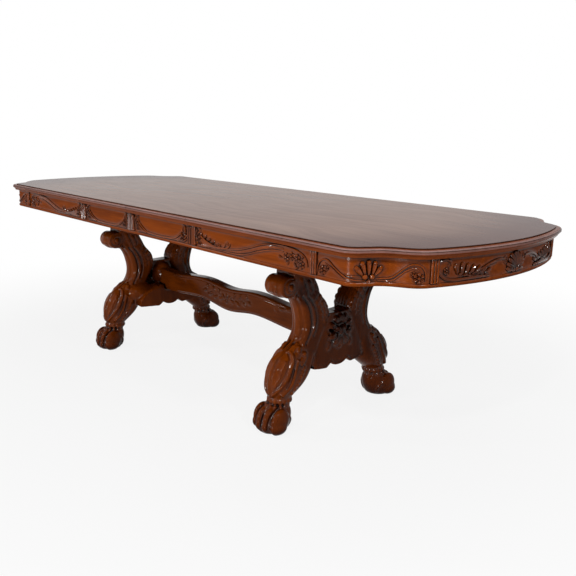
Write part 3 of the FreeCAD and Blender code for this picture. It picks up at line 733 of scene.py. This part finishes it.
sideCarving = dict(
    upper=[
        (0.6, 0.685, 0.6), (0.668, 0.693), (0.723, 0.707), (0.79, 0.727), (0.85, 0.735),
        (0.907, 0.734), (0.949, 0.726), (0.976, 0.71), (0.984, 0.688, 0.7),
    ],
    lower=[
        (0.545, 0.677, 0.6), (0.66, 0.677), (0.713, 0.685), (0.756, 0.698), (0.8, 0.709),
        (0.838, 0.716), (0.88, 0.717, 0.6),
    ],
    between=[
        (0.62, 0.681, 0.4), (0.668, 0.685, 0.8), (0.716, 0.696), (0.77, 0.712), (0.82, 0.723),
        (0.88, 0.726, 0.5),
    ],
    ribs=5,
    ribReach=(0.186, 0.026),
    ribDrop=0.0072,
    rib=[
        (0, 0.05, 1, 0.7), (0.2, 0.026, 0.7, 1.1), (0.48, 0.01, 0.25, 1.2), (0.78, 0.007, 0, 1),
        (0.95, 0.016, 0.3, 0.8), (1, 0.025, 0.4, 0.5),
    ],
    lobes=6,
    lobePitch=0.022,
    curls=[(0.044, 0.046, 0.01, 140, -1, 0.0056), (0.196, 0.024, 0.0095, -60, 1, 0.0052)],
    flowers=[(0.893, 0.704, 0.0125), (0.916, 0.709, 0.012), (0.94, 0.706, 0.013), (0.957, 0.69, 0.0125)],
    sprigs=[
        (0.876, 0.699, -80, 0.02), (0.904, 0.694, -150, 0.016), (0.928, 0.694, 160, 0.016),
        (0.958, 0.706, 25, 0.015), (0.946, 0.681, -110, 0.014),
    ],
)


def carveSideApron():
    look = sideCarving
    low, width = apronField["low"], apronField["line"]
    edge = plan["seam"] + apronField["gap"]
    parts = seamLeaf(edge, 1)
    parts += [strand(look["upper"], width, 0.0046), strand(look["lower"], width, 0.0042)]
    parts.append(strand(look["between"], 0.0135, 0.0026))
    # the acanthus: ribs that sweep down from the seam and curl up at the far end
    root = edge + 0.03
    for step in range(look["ribs"]):
        drop = look["ribDrop"] * step
        reach = look["ribReach"][0] - look["ribReach"][1] * step
        line = []
        for far, up, fall, share in look["rib"]:
            line.append((root + reach * far, low + up - drop * fall, share))
        parts.append(strand(line, 0.0082, 0.0056 - 0.0003 * step))
    for step in range(look["lobes"]):
        along = edge + 0.048 + look["lobePitch"] * step
        up = low + 0.034 - 0.0045 * step
        parts.append(petal(along, up - 0.006, 40 + 7 * step, 0.021, 0.0095, 0.0062))
    for along, up, radius, start, hand, thickness in look["curls"]:
        parts.append(spiral(edge + along, low + up, radius, 1.3, start, hand, thickness))
    for flower in look["flowers"]:
        parts += rosette(*flower)
    return parts + [petal(*sprig, 0.009, 0.0045) for sprig in look["sprigs"]]


leafCarving = dict(
    swag=[
        (0.04, 0.726, 0.8), (0.072, 0.699), (0.108, 0.682), (0.164, 0.677), (0.242, 0.677),
        (0.298, 0.682), (0.334, 0.699), (0.366, 0.726, 0.8),
    ],
)


def carveLeafApron():
    near = leafBox[0].x + apronField["gap"]
    far = leafBox[1].x - apronField["gap"]
    return seamLeaf(near, 1) + seamLeaf(far, -1) + [strand(leafCarving["swag"], 0.0072, 0.0052)]


cornerCarving = dict(
    arch=[
        (1.022, 0.68, 0.6), (1.028, 0.706), (1.046, 0.721), (1.064, 0.72), (1.081, 0.709),
        (1.105, 0.695), (1.128, 0.685), (1.154, 0.678), (1.187, 0.676, 0.6),
    ],
    second=[(1.052, 0.712, 0.5), (1.078, 0.701), (1.102, 0.688), (1.124, 0.679, 0.5)],
    collar=[(1.123, 0.693, 0.5), (1.149, 0.688), (1.171, 0.688, 0.6)],
    rise=[
        (1.2, 0.68, 0.6), (1.228, 0.682), (1.253, 0.685), (1.276, 0.702), (1.297, 0.719),
        (1.316, 0.725), (1.336, 0.717), (1.345, 0.697), (1.345, 0.68, 0.7),
    ],
    under=[
        (1.214, 0.677, 0.5), (1.256, 0.678), (1.276, 0.692), (1.296, 0.708), (1.314, 0.714),
        (1.328, 0.708, 0.5),
    ],
    flowers=[(1.043, 0.69, 0.0135), (1.058, 0.699, 0.009), (1.327, 0.688, 0.0145), (1.313, 0.697, 0.009)],
    crest=(1.191, 0.688, 0.047),
)


def carveCornerApron():
    look = cornerCarving
    width = apronField["line"]
    parts = [strand(look[key], width, 0.0048) for key in ("arch", "rise")]
    parts += [strand(look[key], width, 0.004) for key in ("second", "under", "collar")]
    parts += palmette(*look["crest"])
    for flower in look["flowers"]:
        parts += rosette(*flower)
    return parts


endCarving = dict(
    scroll=[
        (1.424, 0.727, 0.7), (1.409, 0.736), (1.39, 0.733), (1.379, 0.72), (1.384, 0.703),
        (1.397, 0.688), (1.42, 0.679), (1.47, 0.678), (1.52, 0.679), (1.571, 0.677, 0.6),
    ],
    stem=[(1.5, 0.688, 0.6), (1.535, 0.699), (1.575, 0.713), (1.61, 0.72), (1.634, 0.718, 0.8)],
    understem=[(1.52, 0.687, 0.5), (1.56, 0.701), (1.6, 0.709, 0.5)],
    flower=(1.41, 0.703, 0.011),
    cluster=[
        (1.446, 0.69, -14, 0.034), (1.46, 0.688, 4, 0.038), (1.474, 0.688, 20, 0.036),
        (1.49, 0.688, 34, 0.034), (1.508, 0.688, 48, 0.034), (1.528, 0.688, 60, 0.034),
        (1.548, 0.688, 70, 0.03),
    ],
    crest=[(4, 1.05), (24, 1.0), (44, 0.92), (64, 0.86), (84, 0.8)],
    crestLength=0.054,
)


def carveEndApron():
    # one half, up to the middle of the bow: C scroll, leaf cluster on a stem, crest in the middle
    look = endCarving
    low = apronField["low"]
    parts = [strand(look["scroll"], 0.0105, 0.0066), strand(look["stem"], 0.008, 0.0056)]
    parts.append(strand(look["understem"], 0.006))
    parts.append(spiral(1.418, 0.72, 0.0085, 1.2, 100, -1, 0.0052))
    parts += rosette(*look["flower"])
    for along, up, lean, length in look["cluster"]:
        parts.append(petal(along, up, lean, length, 0.0135, 0.0072))
        parts.append(petal(along + 0.004, up - 0.002, lean + 70, length * 0.55, 0.0105, 0.0055))
    for lean, share in look["crest"]:
        length = look["crestLength"] * share
        parts.append(petal(endMiddle - 0.002, low + 0.005, -lean, length, 0.0165, 0.0105))
    parts.append(spiral(endMiddle - 0.05, 0.716, 0.0125, 1.4, -60, -1, 0.0062))
    parts.append(spiral(endMiddle - 0.03, 0.686, 0.0095, 1.2, 200, 1, 0.0056))
    parts.append(bud(endMiddle - 0.009, low + 0.004, 0.0085))
    return parts


def onFourCorners(parts, name, finish, bodies):
    # the front right one is modelled; the other three are its mirror copies
    piece = outwards(move(joinUp(name, parts), onApron))
    bpy.ops.object.shade_smooth_by_angle(angle=math.radians(40))
    paint(piece, finish)
    made = [(piece, bodies[0])]
    for place, alongX, acrossY in (("_backRight", 0, 1), ("_frontLeft", 1, 0), ("_backLeft", 1, 1)):
        made.append((mirrorOf(piece, name + place, alongX, acrossY), bodies[alongX]))
    piece.name = name + "_frontRight"
    for obj, body in made:
        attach(obj, body)


# carving in the round: a copy of the CAD shape, with everything grown onto it by a voxel remesh
def looseCopy(node, name):
    body = copyOf(frame["nodes"][node], name)
    body.parent = None
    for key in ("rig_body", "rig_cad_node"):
        if key in body:
            del body[key]
    return outwards(body)


def skinOf(body):
    places = [v.co.copy() for v in body.data.vertices]
    return BVHTree.FromPolygons(places, [tuple(p.vertices) for p in body.data.polygons])


def nearTo(line):
    fine = []
    for first, second in zip(line, line[1:]):
        steps = max(1, int((second - first).length / 0.002))
        fine += [first.lerp(second, step / steps) for step in range(steps)]
    near = KDTree(len(fine))
    for index, spot in enumerate(fine):
        near.insert(spot, index)
    near.balance()
    return near


def blendJoints(piece, joints):
    # where parts of a pedestal are glued together the carver has let one flow into the other
    group = piece.vertex_groups.new(name="joints")
    weights = {}
    for line, reach in joints:
        near = nearTo(line)
        for vertex in piece.data.vertices:
            share = 1.6 * (1 - near.find(vertex.co)[2] / reach)
            if share > 0:
                weights[vertex.index] = max(weights.get(vertex.index, 0), min(1, share))
    for index, weight in weights.items():
        group.add([index], weight, "REPLACE")
    modify(piece, "SMOOTH", vertex_group="joints", factor=0.5, iterations=40)


def cutGroove(piece, line, reach, depth):
    # press the skin in along a line of places
    near = nearTo(line)
    normals = [v.normal.copy() for v in piece.data.vertices]
    for vertex, normal in zip(piece.data.vertices, normals):
        distance = near.find(vertex.co)[2]
        if distance < reach:
            vertex.co -= normal * depth * (1 - (distance / reach) ** 2) ** 2


growth = dict(voxel=0.0028, ease=2, kept=0.6)


def grow(name, parts, grooves=(), joints=()):
    look = growth
    piece = joinUp(name, parts)
    modify(piece, "REMESH", mode="VOXEL", voxel_size=look["voxel"])
    if joints:
        blendJoints(piece, joints)
    modify(piece, "SMOOTH", factor=0.5, iterations=look["ease"])
    for line, reach, depth in grooves:
        cutGroove(piece, line, reach, depth)
    # fewer triangles on the plain faces
    modify(piece, "DECIMATE", ratio=look["kept"])
    bpy.ops.object.shade_smooth()
    return piece


# legs
legLook = dict(
    place=0.613,
    spread=0.29,
    band=[0.49 - 0.012 * step for step in range(16)],
    crown=[0.85, 1, 1, 1, 1, 0.85],
    rib=[(0.3, 1.2), (0.27, 1.1), (0.235, 1), (0.2, 1), (0.165, 0.9), (0.128, 0.6)],
    rim=[
        (0.288, 10), (0.284, 28), (0.266, 43), (0.236, 48), (0.204, 46), (0.176, 38), (0.15, 24),
        (0.134, 10),
    ],
    vein=[(0.262, 26), (0.23, 27), (0.196, 24), (0.168, 16)],
    flare=[(0.262, 62), (0.232, 66), (0.2, 68), (0.168, 64), (0.138, 50)],
    sideCurl=(0.258, 84),
    curlShares=[1.1, 1.1, 1.1, 1.05, 1.0, 0.95, 0.9, 0.85, 0.8, 0.75, 0.7, 0.7],
    beads=7,
    leafTips=(-46, -23, 0, 23, 46),
    frill=14,
    foliage=[
        (0, 0.4, -0.003, (0.0085, 0.0095, 0.0165)),
        (0.011, 0.24, -0.003, (0.0085, 0.009, 0.0155)),
        (0.004, 0.09, -0.002, (0.008, 0.008, 0.0145)),
    ],
    foliageRows=8,
    flutes=(152, 166, 180, 194, 208),
    fluteLine=[(0.6, 0.7), (0.56, 1), (0.52, 1), (0.48, 1), (0.445, 0.9), (0.415, 0.5)],
    toes=(-1.5, -0.5, 0.5, 1.5),
    toePitch=0.033,
    toeGroove=[(-0.272, 0.096), (-0.3, 0.088), (-0.326, 0.066), (-0.338, 0.04), (-0.338, 0.01)],
    pawRim=[(0.072, 0.62), (0.062, 0.42), (0.048, 0.22), (0.03, 0.14), (0.012, 0.12)],
    volute=(0.257, 0.532),
    jointHeights=(0.215, 0.24, 0.27, 0.3, 0.33, 0.36, 0.385),
)


class LegSkin:
    def __init__(self, body):
        self.tree = skinOf(body)
        self.x = legLook["place"]

    def edges(self, z):
        front = self.tree.ray_cast(Vector((self.x, -0.9, z)), Vector((0, 1, 0)))[0]
        back = self.tree.ray_cast(Vector((self.x, 0.0, z)), Vector((0, -1, 0)))[0]
        return front.y, back.y

    def around(self, z, turn, lift=0.0):
        # a place at a height, so many degrees round from the leg's outer side
        front, back = self.edges(z)
        centre = Vector((self.x, (front + back) / 2, z))
        way = Vector((math.sin(math.radians(turn)), -math.cos(math.radians(turn)), 0))
        hit, normal = self.tree.ray_cast(centre + way * 0.3, -way)[:2]
        return hit + normal * lift

    def flank(self, z, share, side, lift=0.0):
        # a place on a side face; share runs from the leg's inner edge to its outer edge
        front, back = self.edges(z)
        start = Vector((self.x + side * 0.3, back + (front - back) * share, z))
        hit, normal = self.tree.ray_cast(start, Vector((-side, 0, 0)))[:2]
        return hit + normal * lift

    def rib(self, knots, turn, lift, radius):
        line = [self.around(z, turn, lift) for z, share in knots]
        return tube(line, radius, [share for z, share in knots])


def kneeLeaf(skin):
    # a sharp rib between two rimmed lobes, leaf tips above, a C-shaped curl and beads at each side
    look = legLook
    parts = [skin.rib(look["rib"], 0, 0.002, 0.0062)]
    grooves = []
    level, turn = look["sideCurl"]
    for side in (-1, 1):
        for key, radius in (("rim", 0.0058), ("vein", 0.004), ("flare", 0.0082)):
            parts.append(tube([skin.around(z, side * angle, 0.0005) for z, angle in look[key]], radius))
        for key in ("rim", "flare"):
            line = [skin.around(z, side * (angle - 9), 0.001) for z, angle in look[key][1:-1]]
            grooves.append((line, 0.006, 0.003))
        curl = []
        for step in range(len(look["curlShares"])):
            angle = math.radians(40 + step * 44)
            reach = 0.024 - 0.0018 * step
            aside = turn - 560 * reach * math.cos(angle)
            curl.append(skin.around(level + reach * math.sin(angle), side * aside, 0.003))
        parts.append(tube(curl, 0.006, look["curlShares"]))
        parts.append(ball(skin.around(level + 0.02, side * (turn - 6), 0.003), (0.01, 0.01, 0.009)))
        for step in range(look["beads"]):
            size = 0.0088 - 0.0004 * step
            bead = skin.around(level - 0.03 - 0.0145 * step, side * (106 - 1.5 * step), 0.001)
            parts.append(ball(bead, (size, size, size * 1.1)))
    for turn in look["leafTips"]:
        top = 0.326 - 0.00075 * abs(turn)
        tip = [skin.around(0.284, turn * 0.6), skin.around(0.3, turn * 0.85, 0.002)]
        tip.append(skin.around(top, turn, 0.001))
        parts.append(tube(tip, 0.0068, [0.7, 1.1, 0.8]))
        parts.append(ball(skin.around(top, turn, 0.002), (0.0075, 0.0075, 0.007)))
    return parts, grooves


def ankleFrill(skin):
    parts = []
    count = legLook["frill"]
    for step in range(count):
        angle = 360 / count * step
        parts.append(ball(skin.around(0.112, angle, 0.001), (0.0095, 0.0095, 0.0125)))
        parts.append(ball(skin.around(0.094, angle + 13, 0.000), (0.0075, 0.0075, 0.007)))
    return parts, []


def legSides(skin):
    # beside the outer band a deep groove, a flat band, a finer groove, then foliage up to the head
    look = legLook
    heights = look["band"]
    parts, grooves = [], []
    for side in (-1, 1):
        flat = [skin.flank(z, 0.7, side, -0.002) for z in heights[1:14:3]]
        parts.append(tube(flat, 0.0065, [0.6, 1, 1, 1, 0.6]))
        grooves.append(([skin.flank(z, 0.8, side) for z in heights], 0.0085, 0.0062))
        grooves.append(([skin.flank(z, 0.57, side) for z in heights[:-2]], 0.006, 0.0036))
        for step in range(look["foliageRows"]):
            level = 0.545 - 0.021 * step
            size = 1.15 - 0.06 * step
            for drop, share, lift, shape in look["foliage"]:
                place = skin.flank(level - drop, share, side, lift)
                parts.append(ball(place, [size * s for s in shape], (math.radians(24), 0, 0)))
    # flutes up the inner edge
    parts += [skin.rib(look["fluteLine"], turn, 0, 0.0068) for turn in look["flutes"]]
    return parts, grooves


def paw(skin):
    # four full lobes side by side, swelling out at half height, and a rim round each side
    look = legLook
    parts, grooves = [], []
    for toe in look["toes"]:
        x = skin.x + toe * look["toePitch"]
        y = -look["spread"] - 0.018 + 0.013 * (abs(toe) / 1.5) ** 2
        parts.append(ball((x, y, 0.05), (0.019, 0.04, 0.044), (math.radians(-14), 0, 0)))
        parts.append(ball((x, y - 0.012, 0.028), (0.0185, 0.032, 0.029)))
    for toe in (-1, 0, 1):
        x = skin.x + toe * look["toePitch"]
        grooves.append(([Vector((x, y, z)) for y, z in look["toeGroove"]], 0.0085, 0.006))
    for side in (-1, 1):
        rim = [skin.flank(z, share, side, -0.001) for z, share in look["pawRim"]]
        parts.append(tube(rim, 0.0058, [0.5, 1, 1, 1, 0.8]))
    return parts, grooves


def volute(skin):
    # a fat knob, spiral lines on its ends, beads in its throat
    out, level = legLook["volute"]
    parts = [ball((skin.x, -out, level), (0.063, 0.0415, 0.0415))]
    grooves = []
    for side in (-1, 1):
        curl = []
        for step in range(21):
            share = step / 20
            angle = math.radians(60 + 640 * share)
            reach = 0.0335 * (1 - 0.82 * share)
            x = skin.x + side * (0.053 + 0.006 * share)
            curl.append(Vector((x, -out + reach * math.cos(angle), level + reach * math.sin(angle))))
        grooves.append((curl, 0.0052, 0.0042))
        parts.append(ball((skin.x + side * 0.0595, -out, level), (0.0055, 0.0075, 0.0075)))
    for step in range(4):
        parts.append(ball((skin.x + 0.026 * (step - 1.5), -0.224, 0.496), (0.011, 0.0095, 0.0095)))
    for step in range(3):
        place = (skin.x + 0.017 * (step - 1), -out - 0.036, level - 0.013)
        parts.append(ball(place, (0.006, 0.006, 0.0065)))
    return parts, grooves


def carveLeg():
    look = legLook
    body = looseCopy("leg_front_right", "carvedLeg")
    skin = LegSkin(body)
    # crown of the outer band, so that it isn't flat
    crown = tube([skin.around(z, 0, -0.03) for z in look["band"][::3]], 0.04, look["crown"])
    parts, grooves = [body, crown], []
    for carve in (kneeLeaf, ankleFrill, legSides, paw, volute):
        added, pressed = carve(skin)
        parts += added
        grooves += pressed
    innerEdge = [(z, skin.edges(z)[1]) for z in look["jointHeights"]]
    return parts, grooves, innerEdge


# pedestal: two legs with the panel and the block between them
pedestalLook = dict(
    nodes=("leg_front", "leg_back", "pedestal_panel", "pedestal_block"),
    face=0.6595,
    inner=0.565,
    block=0.506,
    half=0.128,
    lip=0.0062,
    seamRod=0.028,
    throat=[(-0.05, 0.3), (-0.055, 0.37), (0, 0.4), (0.055, 0.37), (0.05, 0.3)],
    lobes=[
        (0, 0.362, 0, 0.036, 0.03), (0.012, 0.358, 30, 0.04, 0.027), (-0.012, 0.358, -30, 0.04, 0.027),
        (0.022, 0.35, 72, 0.04, 0.026), (-0.022, 0.35, -72, 0.04, 0.026),
        (0, 0.322, 180, 0.058, 0.028), (0.01, 0.326, 156, 0.052, 0.025), (-0.01, 0.326, 204, 0.052, 0.025),
        (0.02, 0.33, 122, 0.04, 0.024), (-0.02, 0.33, 238, 0.04, 0.024),
    ],
    relief=0.016,
)


def onPanel(along, out, up):
    return Vector((pedestalLook["face"] + out, along, up))


def panelLeaves():
    look = pedestalLook
    leaves = [petal(*lobe, look["relief"], 0.35) for lobe in look["lobes"]]
    for side in (-1, 1):
        leaves.append(bud(side * 0.017, 0.343, 0.0125, 0.02))
        leaves.append(spiral(side * 0.058, 0.322, 0.014, 1.2, 90 - side * 70, side, 0.01))
        leaves.append(petal(side * 0.05, 0.306, side * 165, 0.044, 0.02, 0.008, 0.35))
    leaves.append(ball((0, 0, 0.333), (0.012, 0.019, 0.016)))
    return move(joinUp("panelLeaves", leaves), onPanel)


def scallopLip(body):
    # a rod along the panel's lower edge
    look = pedestalLook
    tree = skinOf(body)
    line = []
    for step in range(41):
        y = look["half"] * (step / 20 - 1)
        hit = tree.ray_cast(Vector((0.635, y, 0.0)), Vector((0, 0, 1)))[0]
        line.append(Vector((look["face"] - 0.002, y, hit.z + look["lip"])))
    return tube(line, look["lip"])


def carvePedestal():
    # the panel's outer side made level, a lip along the scallops, and the leaf work grown onto it
    look = pedestalLook
    face, inner, block = look["face"], look["inner"], look["block"]
    legParts, grooves, innerEdge = carveLeg()
    leg = joinUp("carvedLegs", legParts)
    parts = [leg, mirrorOf(leg, "carvedLegBack", False, True)]
    for line, reach, depth in list(grooves):
        grooves.append(([Vector((v.x, -v.y, v.z)) for v in line], reach, depth))
    parts.append(looseCopy("pedestal_block_right", "carvedBlock"))
    body = looseCopy("pedestal_panel_right", "carvedPanel")
    for vertex in body.data.vertices:
        if vertex.co.x > 0.62:
            vertex.co.x = face
    parts += [body, scallopLip(body)]
    joints = []
    for side in (-1, 1):
        rod = look["seamRod"]
        parts.append(tube([Vector((face - rod, side * y, z)) for z, y in innerEdge], rod))
        parts.append(ball((inner + 0.02, side * 0.13, 0.262), (0.06, 0.078, 0.05)))
        for x, reach in ((face, 0.026), (inner, 0.04)):
            joints.append(([Vector((x, side * y, z)) for z, y in innerEdge], reach))
        foot = [
            (inner, 0.19, 0.215), (inner, 0.185, 0.262), (inner - 0.02, 0.14, 0.285),
            (inner - 0.04, 0.08, 0.298), (block + 0.01, 0.035, 0.298),
        ]
        joints.append(([Vector((x, side * y, z)) for x, y, z in foot], 0.048))
    parts.append(ball((0.59, 0, 0.338), (0.06, 0.052, 0.058)))
    joints.append(([Vector((0.575, y, z)) for y, z in look["throat"]], 0.03))
    parts.append(panelLeaves())
    pedestal = grow("carvedPedestal", parts, grooves, joints)
    for vertex in pedestal.data.vertices:
        vertex.co.z = max(vertex.co.z, 0.003)
    return pedestal


stretcherLook = dict(
    face=0.031,
    half=0.585,
    quirks=(0.9, 0.08),
    curl=(0.335, 0.0115),
    leaves=[
        (0.0, 0.0, 0, 0.03), (0.006, -0.002, 48, 0.036), (0.02, 0.004, 100, 0.04),
        (0.046, 0.012, 30, 0.03), (0.058, 0.004, 110, 0.042), (0.088, 0.016, 38, 0.027),
        (0.1, 0.006, 112, 0.04), (0.132, 0.018, 45, 0.022), (0.14, 0.01, 108, 0.034),
    ],
    scrolls=[(0.036, 0.4, 0.016, 0.0062), (0.082, 0.42, 0.014, 0.0058)],
)


def carveStretcher():
    # one beam: a quirk along both edges of each face, leaf scrolls in the middle, a curl near each end
    look = stretcherLook
    face = look["face"]
    body = looseCopy("stretcher", "carvedStretcher")
    tree = skinOf(body)

    def level(x, share):
        low = tree.ray_cast(Vector((x, 0, 0)), Vector((0, 0, 1)))[0].z
        high = tree.ray_cast(Vector((x, 0, 0.6)), Vector((0, 0, -1)))[0].z
        return low + (high - low) * share

    leaves, grooves = [], []
    for hand in (-1, 1):
        for along, up, lean, length in look["leaves"]:
            foot = hand * along
            leaves.append(petal(foot, level(foot, 0.5) + up, hand * lean, length, 0.016, 0.0085))
        for along, share, radius, width in look["scrolls"]:
            leaves.append(spiral(hand * along, level(along, share), radius, 1.4, 90, -hand, width))
        along, radius = look["curl"]
        up = level(hand * along, 0.74)
        leaves.append(spiral(hand * along, up, radius, 1.3, 90 + hand * 90, hand, 0.0068))
        for step in range(3):
            foot = hand * (along + 0.01 + 0.026 * step)
            up = level(foot, 0.78 + 0.03 * step)
            leaves.append(petal(foot, up, hand * (84 - 4 * step), 0.038, 0.013, 0.0056))
    leaves.append(bud(0, level(0, 0.45), 0.01, 0.011))
    front = joinUp("stretcherLeaves", leaves)
    move(front, lambda along, out, up: Vector((along, -face - out, up)))
    back = mirrorOf(front, "stretcherLeavesBack", False, True)
    spots = [step * look["half"] / 60 for step in range(-60, 61)]
    for side in (-1, 1):
        for share in look["quirks"]:
            line = [Vector((x, side * face, level(x, share))) for x in spots]
            grooves.append((line, 0.0055, 0.003))
    return grow("carvedStretcher", [body, front, back], grooves)


# put it together
def paintFrame(pedestalWood):
    looks = dict(
        top_veneer=veneer(),
        carved_wood=carvedWood("apronLacquer", **carvedLook["aprons"]),
        frame_wood=plainWood(),
        steel=metal("zincPlate"),
        brass=metal("oldBrass"),
        glide=nylon(),
    )
    slots = {row["node"]: row["material_slot"] for row in frame["record"]["subparts"]}
    for name, obj in frame["nodes"].items():
        stands = name.startswith(("leg_", "pedestal_", "stretcher"))
        paint(obj, pedestalWood if stands else looks[slots[name]])
    print("finishes on", len(frame["nodes"]), "CAD nodes")


def carveAprons():
    ornament = carvedWood("carvingLacquer", **carvedLook["ornament"])
    endOrnament = carvedWood("endCarvingLacquer", **carvedLook["endOrnament"])
    halves = ("half_right", "half_left")
    leaves = ("leaf_right_unit", "leaf_left_unit")
    onFourCorners(carveSideApron(), "sideCarving", ornament, halves)
    onFourCorners(carveLeafApron(), "leafCarving", ornament, leaves)
    onFourCorners(carveCornerApron(), "cornerCarving", ornament, halves)
    onFourCorners(carveEndApron(), "endCarving", endOrnament, halves)
    print("apron carving done")


def carveStand(pedestalWood):
    stretcherWood = carvedWood("beamLacquer", **carvedLook["stretcher"])
    kinds = pedestalLook["nodes"]
    right = carvePedestal()
    left = mirrorOf(right, "carvedPedestal_left", True, False)
    right.name = "carvedPedestal_right"
    made = [
        (right, pedestalWood, [kind + "_right" for kind in kinds]),
        (left, pedestalWood, [kind + "_left" for kind in kinds]),
        (carveStretcher(), stretcherWood, ["stretcher"]),
    ]
    for obj, finish, nodes in made:
        paint(obj, finish)
        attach(obj, "base")
        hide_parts(*nodes)
        print(obj.name, len(obj.data.polygons), "faces")


# stage and light
stageLook = dict(floor=rgb(0.5, 0.5, 0.5), nearGlow=0.86, farFrom=(1.0, 3.0), skyLight=0.13)


def makeFloor():
    look = stageLook
    bpy.ops.mesh.primitive_plane_add(size=60, location=(0, 0, 0))
    floor = bpy.context.object
    floor.name = "floor"
    finish = Finish("paleFloor")
    finish.set(colour=look["floor"], roughness=0.9, specular=0.0)
    # glows white for whatever looks at it, plain grey for the light
    away = finish.node("ShaderNodeVectorMath", dict(operation="LENGTH"), {0: finish.place()}, 1)
    glow = finish.node("ShaderNodeEmission", None, {"Color": rgb(1, 1, 1)})
    near = look["nearGlow"]
    fade = finish.seen() * (near + finish.softly(away, *look["farFrom"]) * (1 - near))
    plain = Value(finish, finish.surface.outputs[0])
    both = finish.node("ShaderNodeMixShader", None, {0: fade, 1: plain, 2: glow})
    finish.put(finish.ending.inputs[0], both)
    paint(floor, finish.material)


def makeSky():
    world = bpy.data.worlds.new("studio")
    bpy.context.scene.world = world
    nodes = Nodes(world)
    values = {"Value": nodes.seen(), "To Min": stageLook["skyLight"], "To Max": 1.0}
    strength = nodes.node("ShaderNodeMapRange", None, values)
    sky = nodes.node("ShaderNodeBackground", None, {"Color": rgb(1, 1, 1), "Strength": strength})
    ending = nodes.tree.nodes.new("ShaderNodeOutputWorld")
    nodes.put(ending.inputs[0], sky)


# name, place, what it aims at, size and power
lamps = [
    ("keyLamp", (0.2, -4.0, 2.5), (0.3, 0, 0.4), (0.22, 0.22), 40),
    ("secondLamp", (2.4, -2.5, 3.0), (0.8, 0, 0.5), (0.2, 0.2), 60),
    ("fillLamp", (-2.8, -3.0, 2.1), (-0.6, 0, 0.5), (0.22, 0.22), 40),
    ("sideLamp", (3.5, -0.7, 2.3), (1.2, 0, 0.6), (0.22, 0.22), 46),
    ("lowLamp", (1.2, -3.2, 0.17), (0.8, 0, 0.6), (0.7, 0.28), 38),
    ("lowLampLeft", (-1.2, -3.4, 0.45), (-0.6, 0, 0.5), (0.3, 0.3), 12),
    ("skyLamp", (0.0, 0.8, 3.6), (0, 0, 0.7), (3.0, 2.0), 34),
]


def makeLamps():
    for name, place, aim, size, power in lamps:
        turn = (Vector(aim) - Vector(place)).to_track_quat("-Z", "Y").to_euler()
        bpy.ops.object.light_add(type="AREA", location=place, rotation=turn)
        light = bpy.context.object
        light.name = name
        light.data.shape = "RECTANGLE"
        light.data.size, light.data.size_y = size
        light.data.energy = power


makeCamera()
pedestalWood = carvedWood("legLacquer", **carvedLook["pedestals"])
paintFrame(pedestalWood)
carveAprons()
carveStand(pedestalWood)
makeFloor()
makeSky()
makeLamps()
bpy.context.scene.view_settings.view_transform = "Standard"
print("stage and", len(lamps), "lamps set")
bpy.context.view_layer.update()
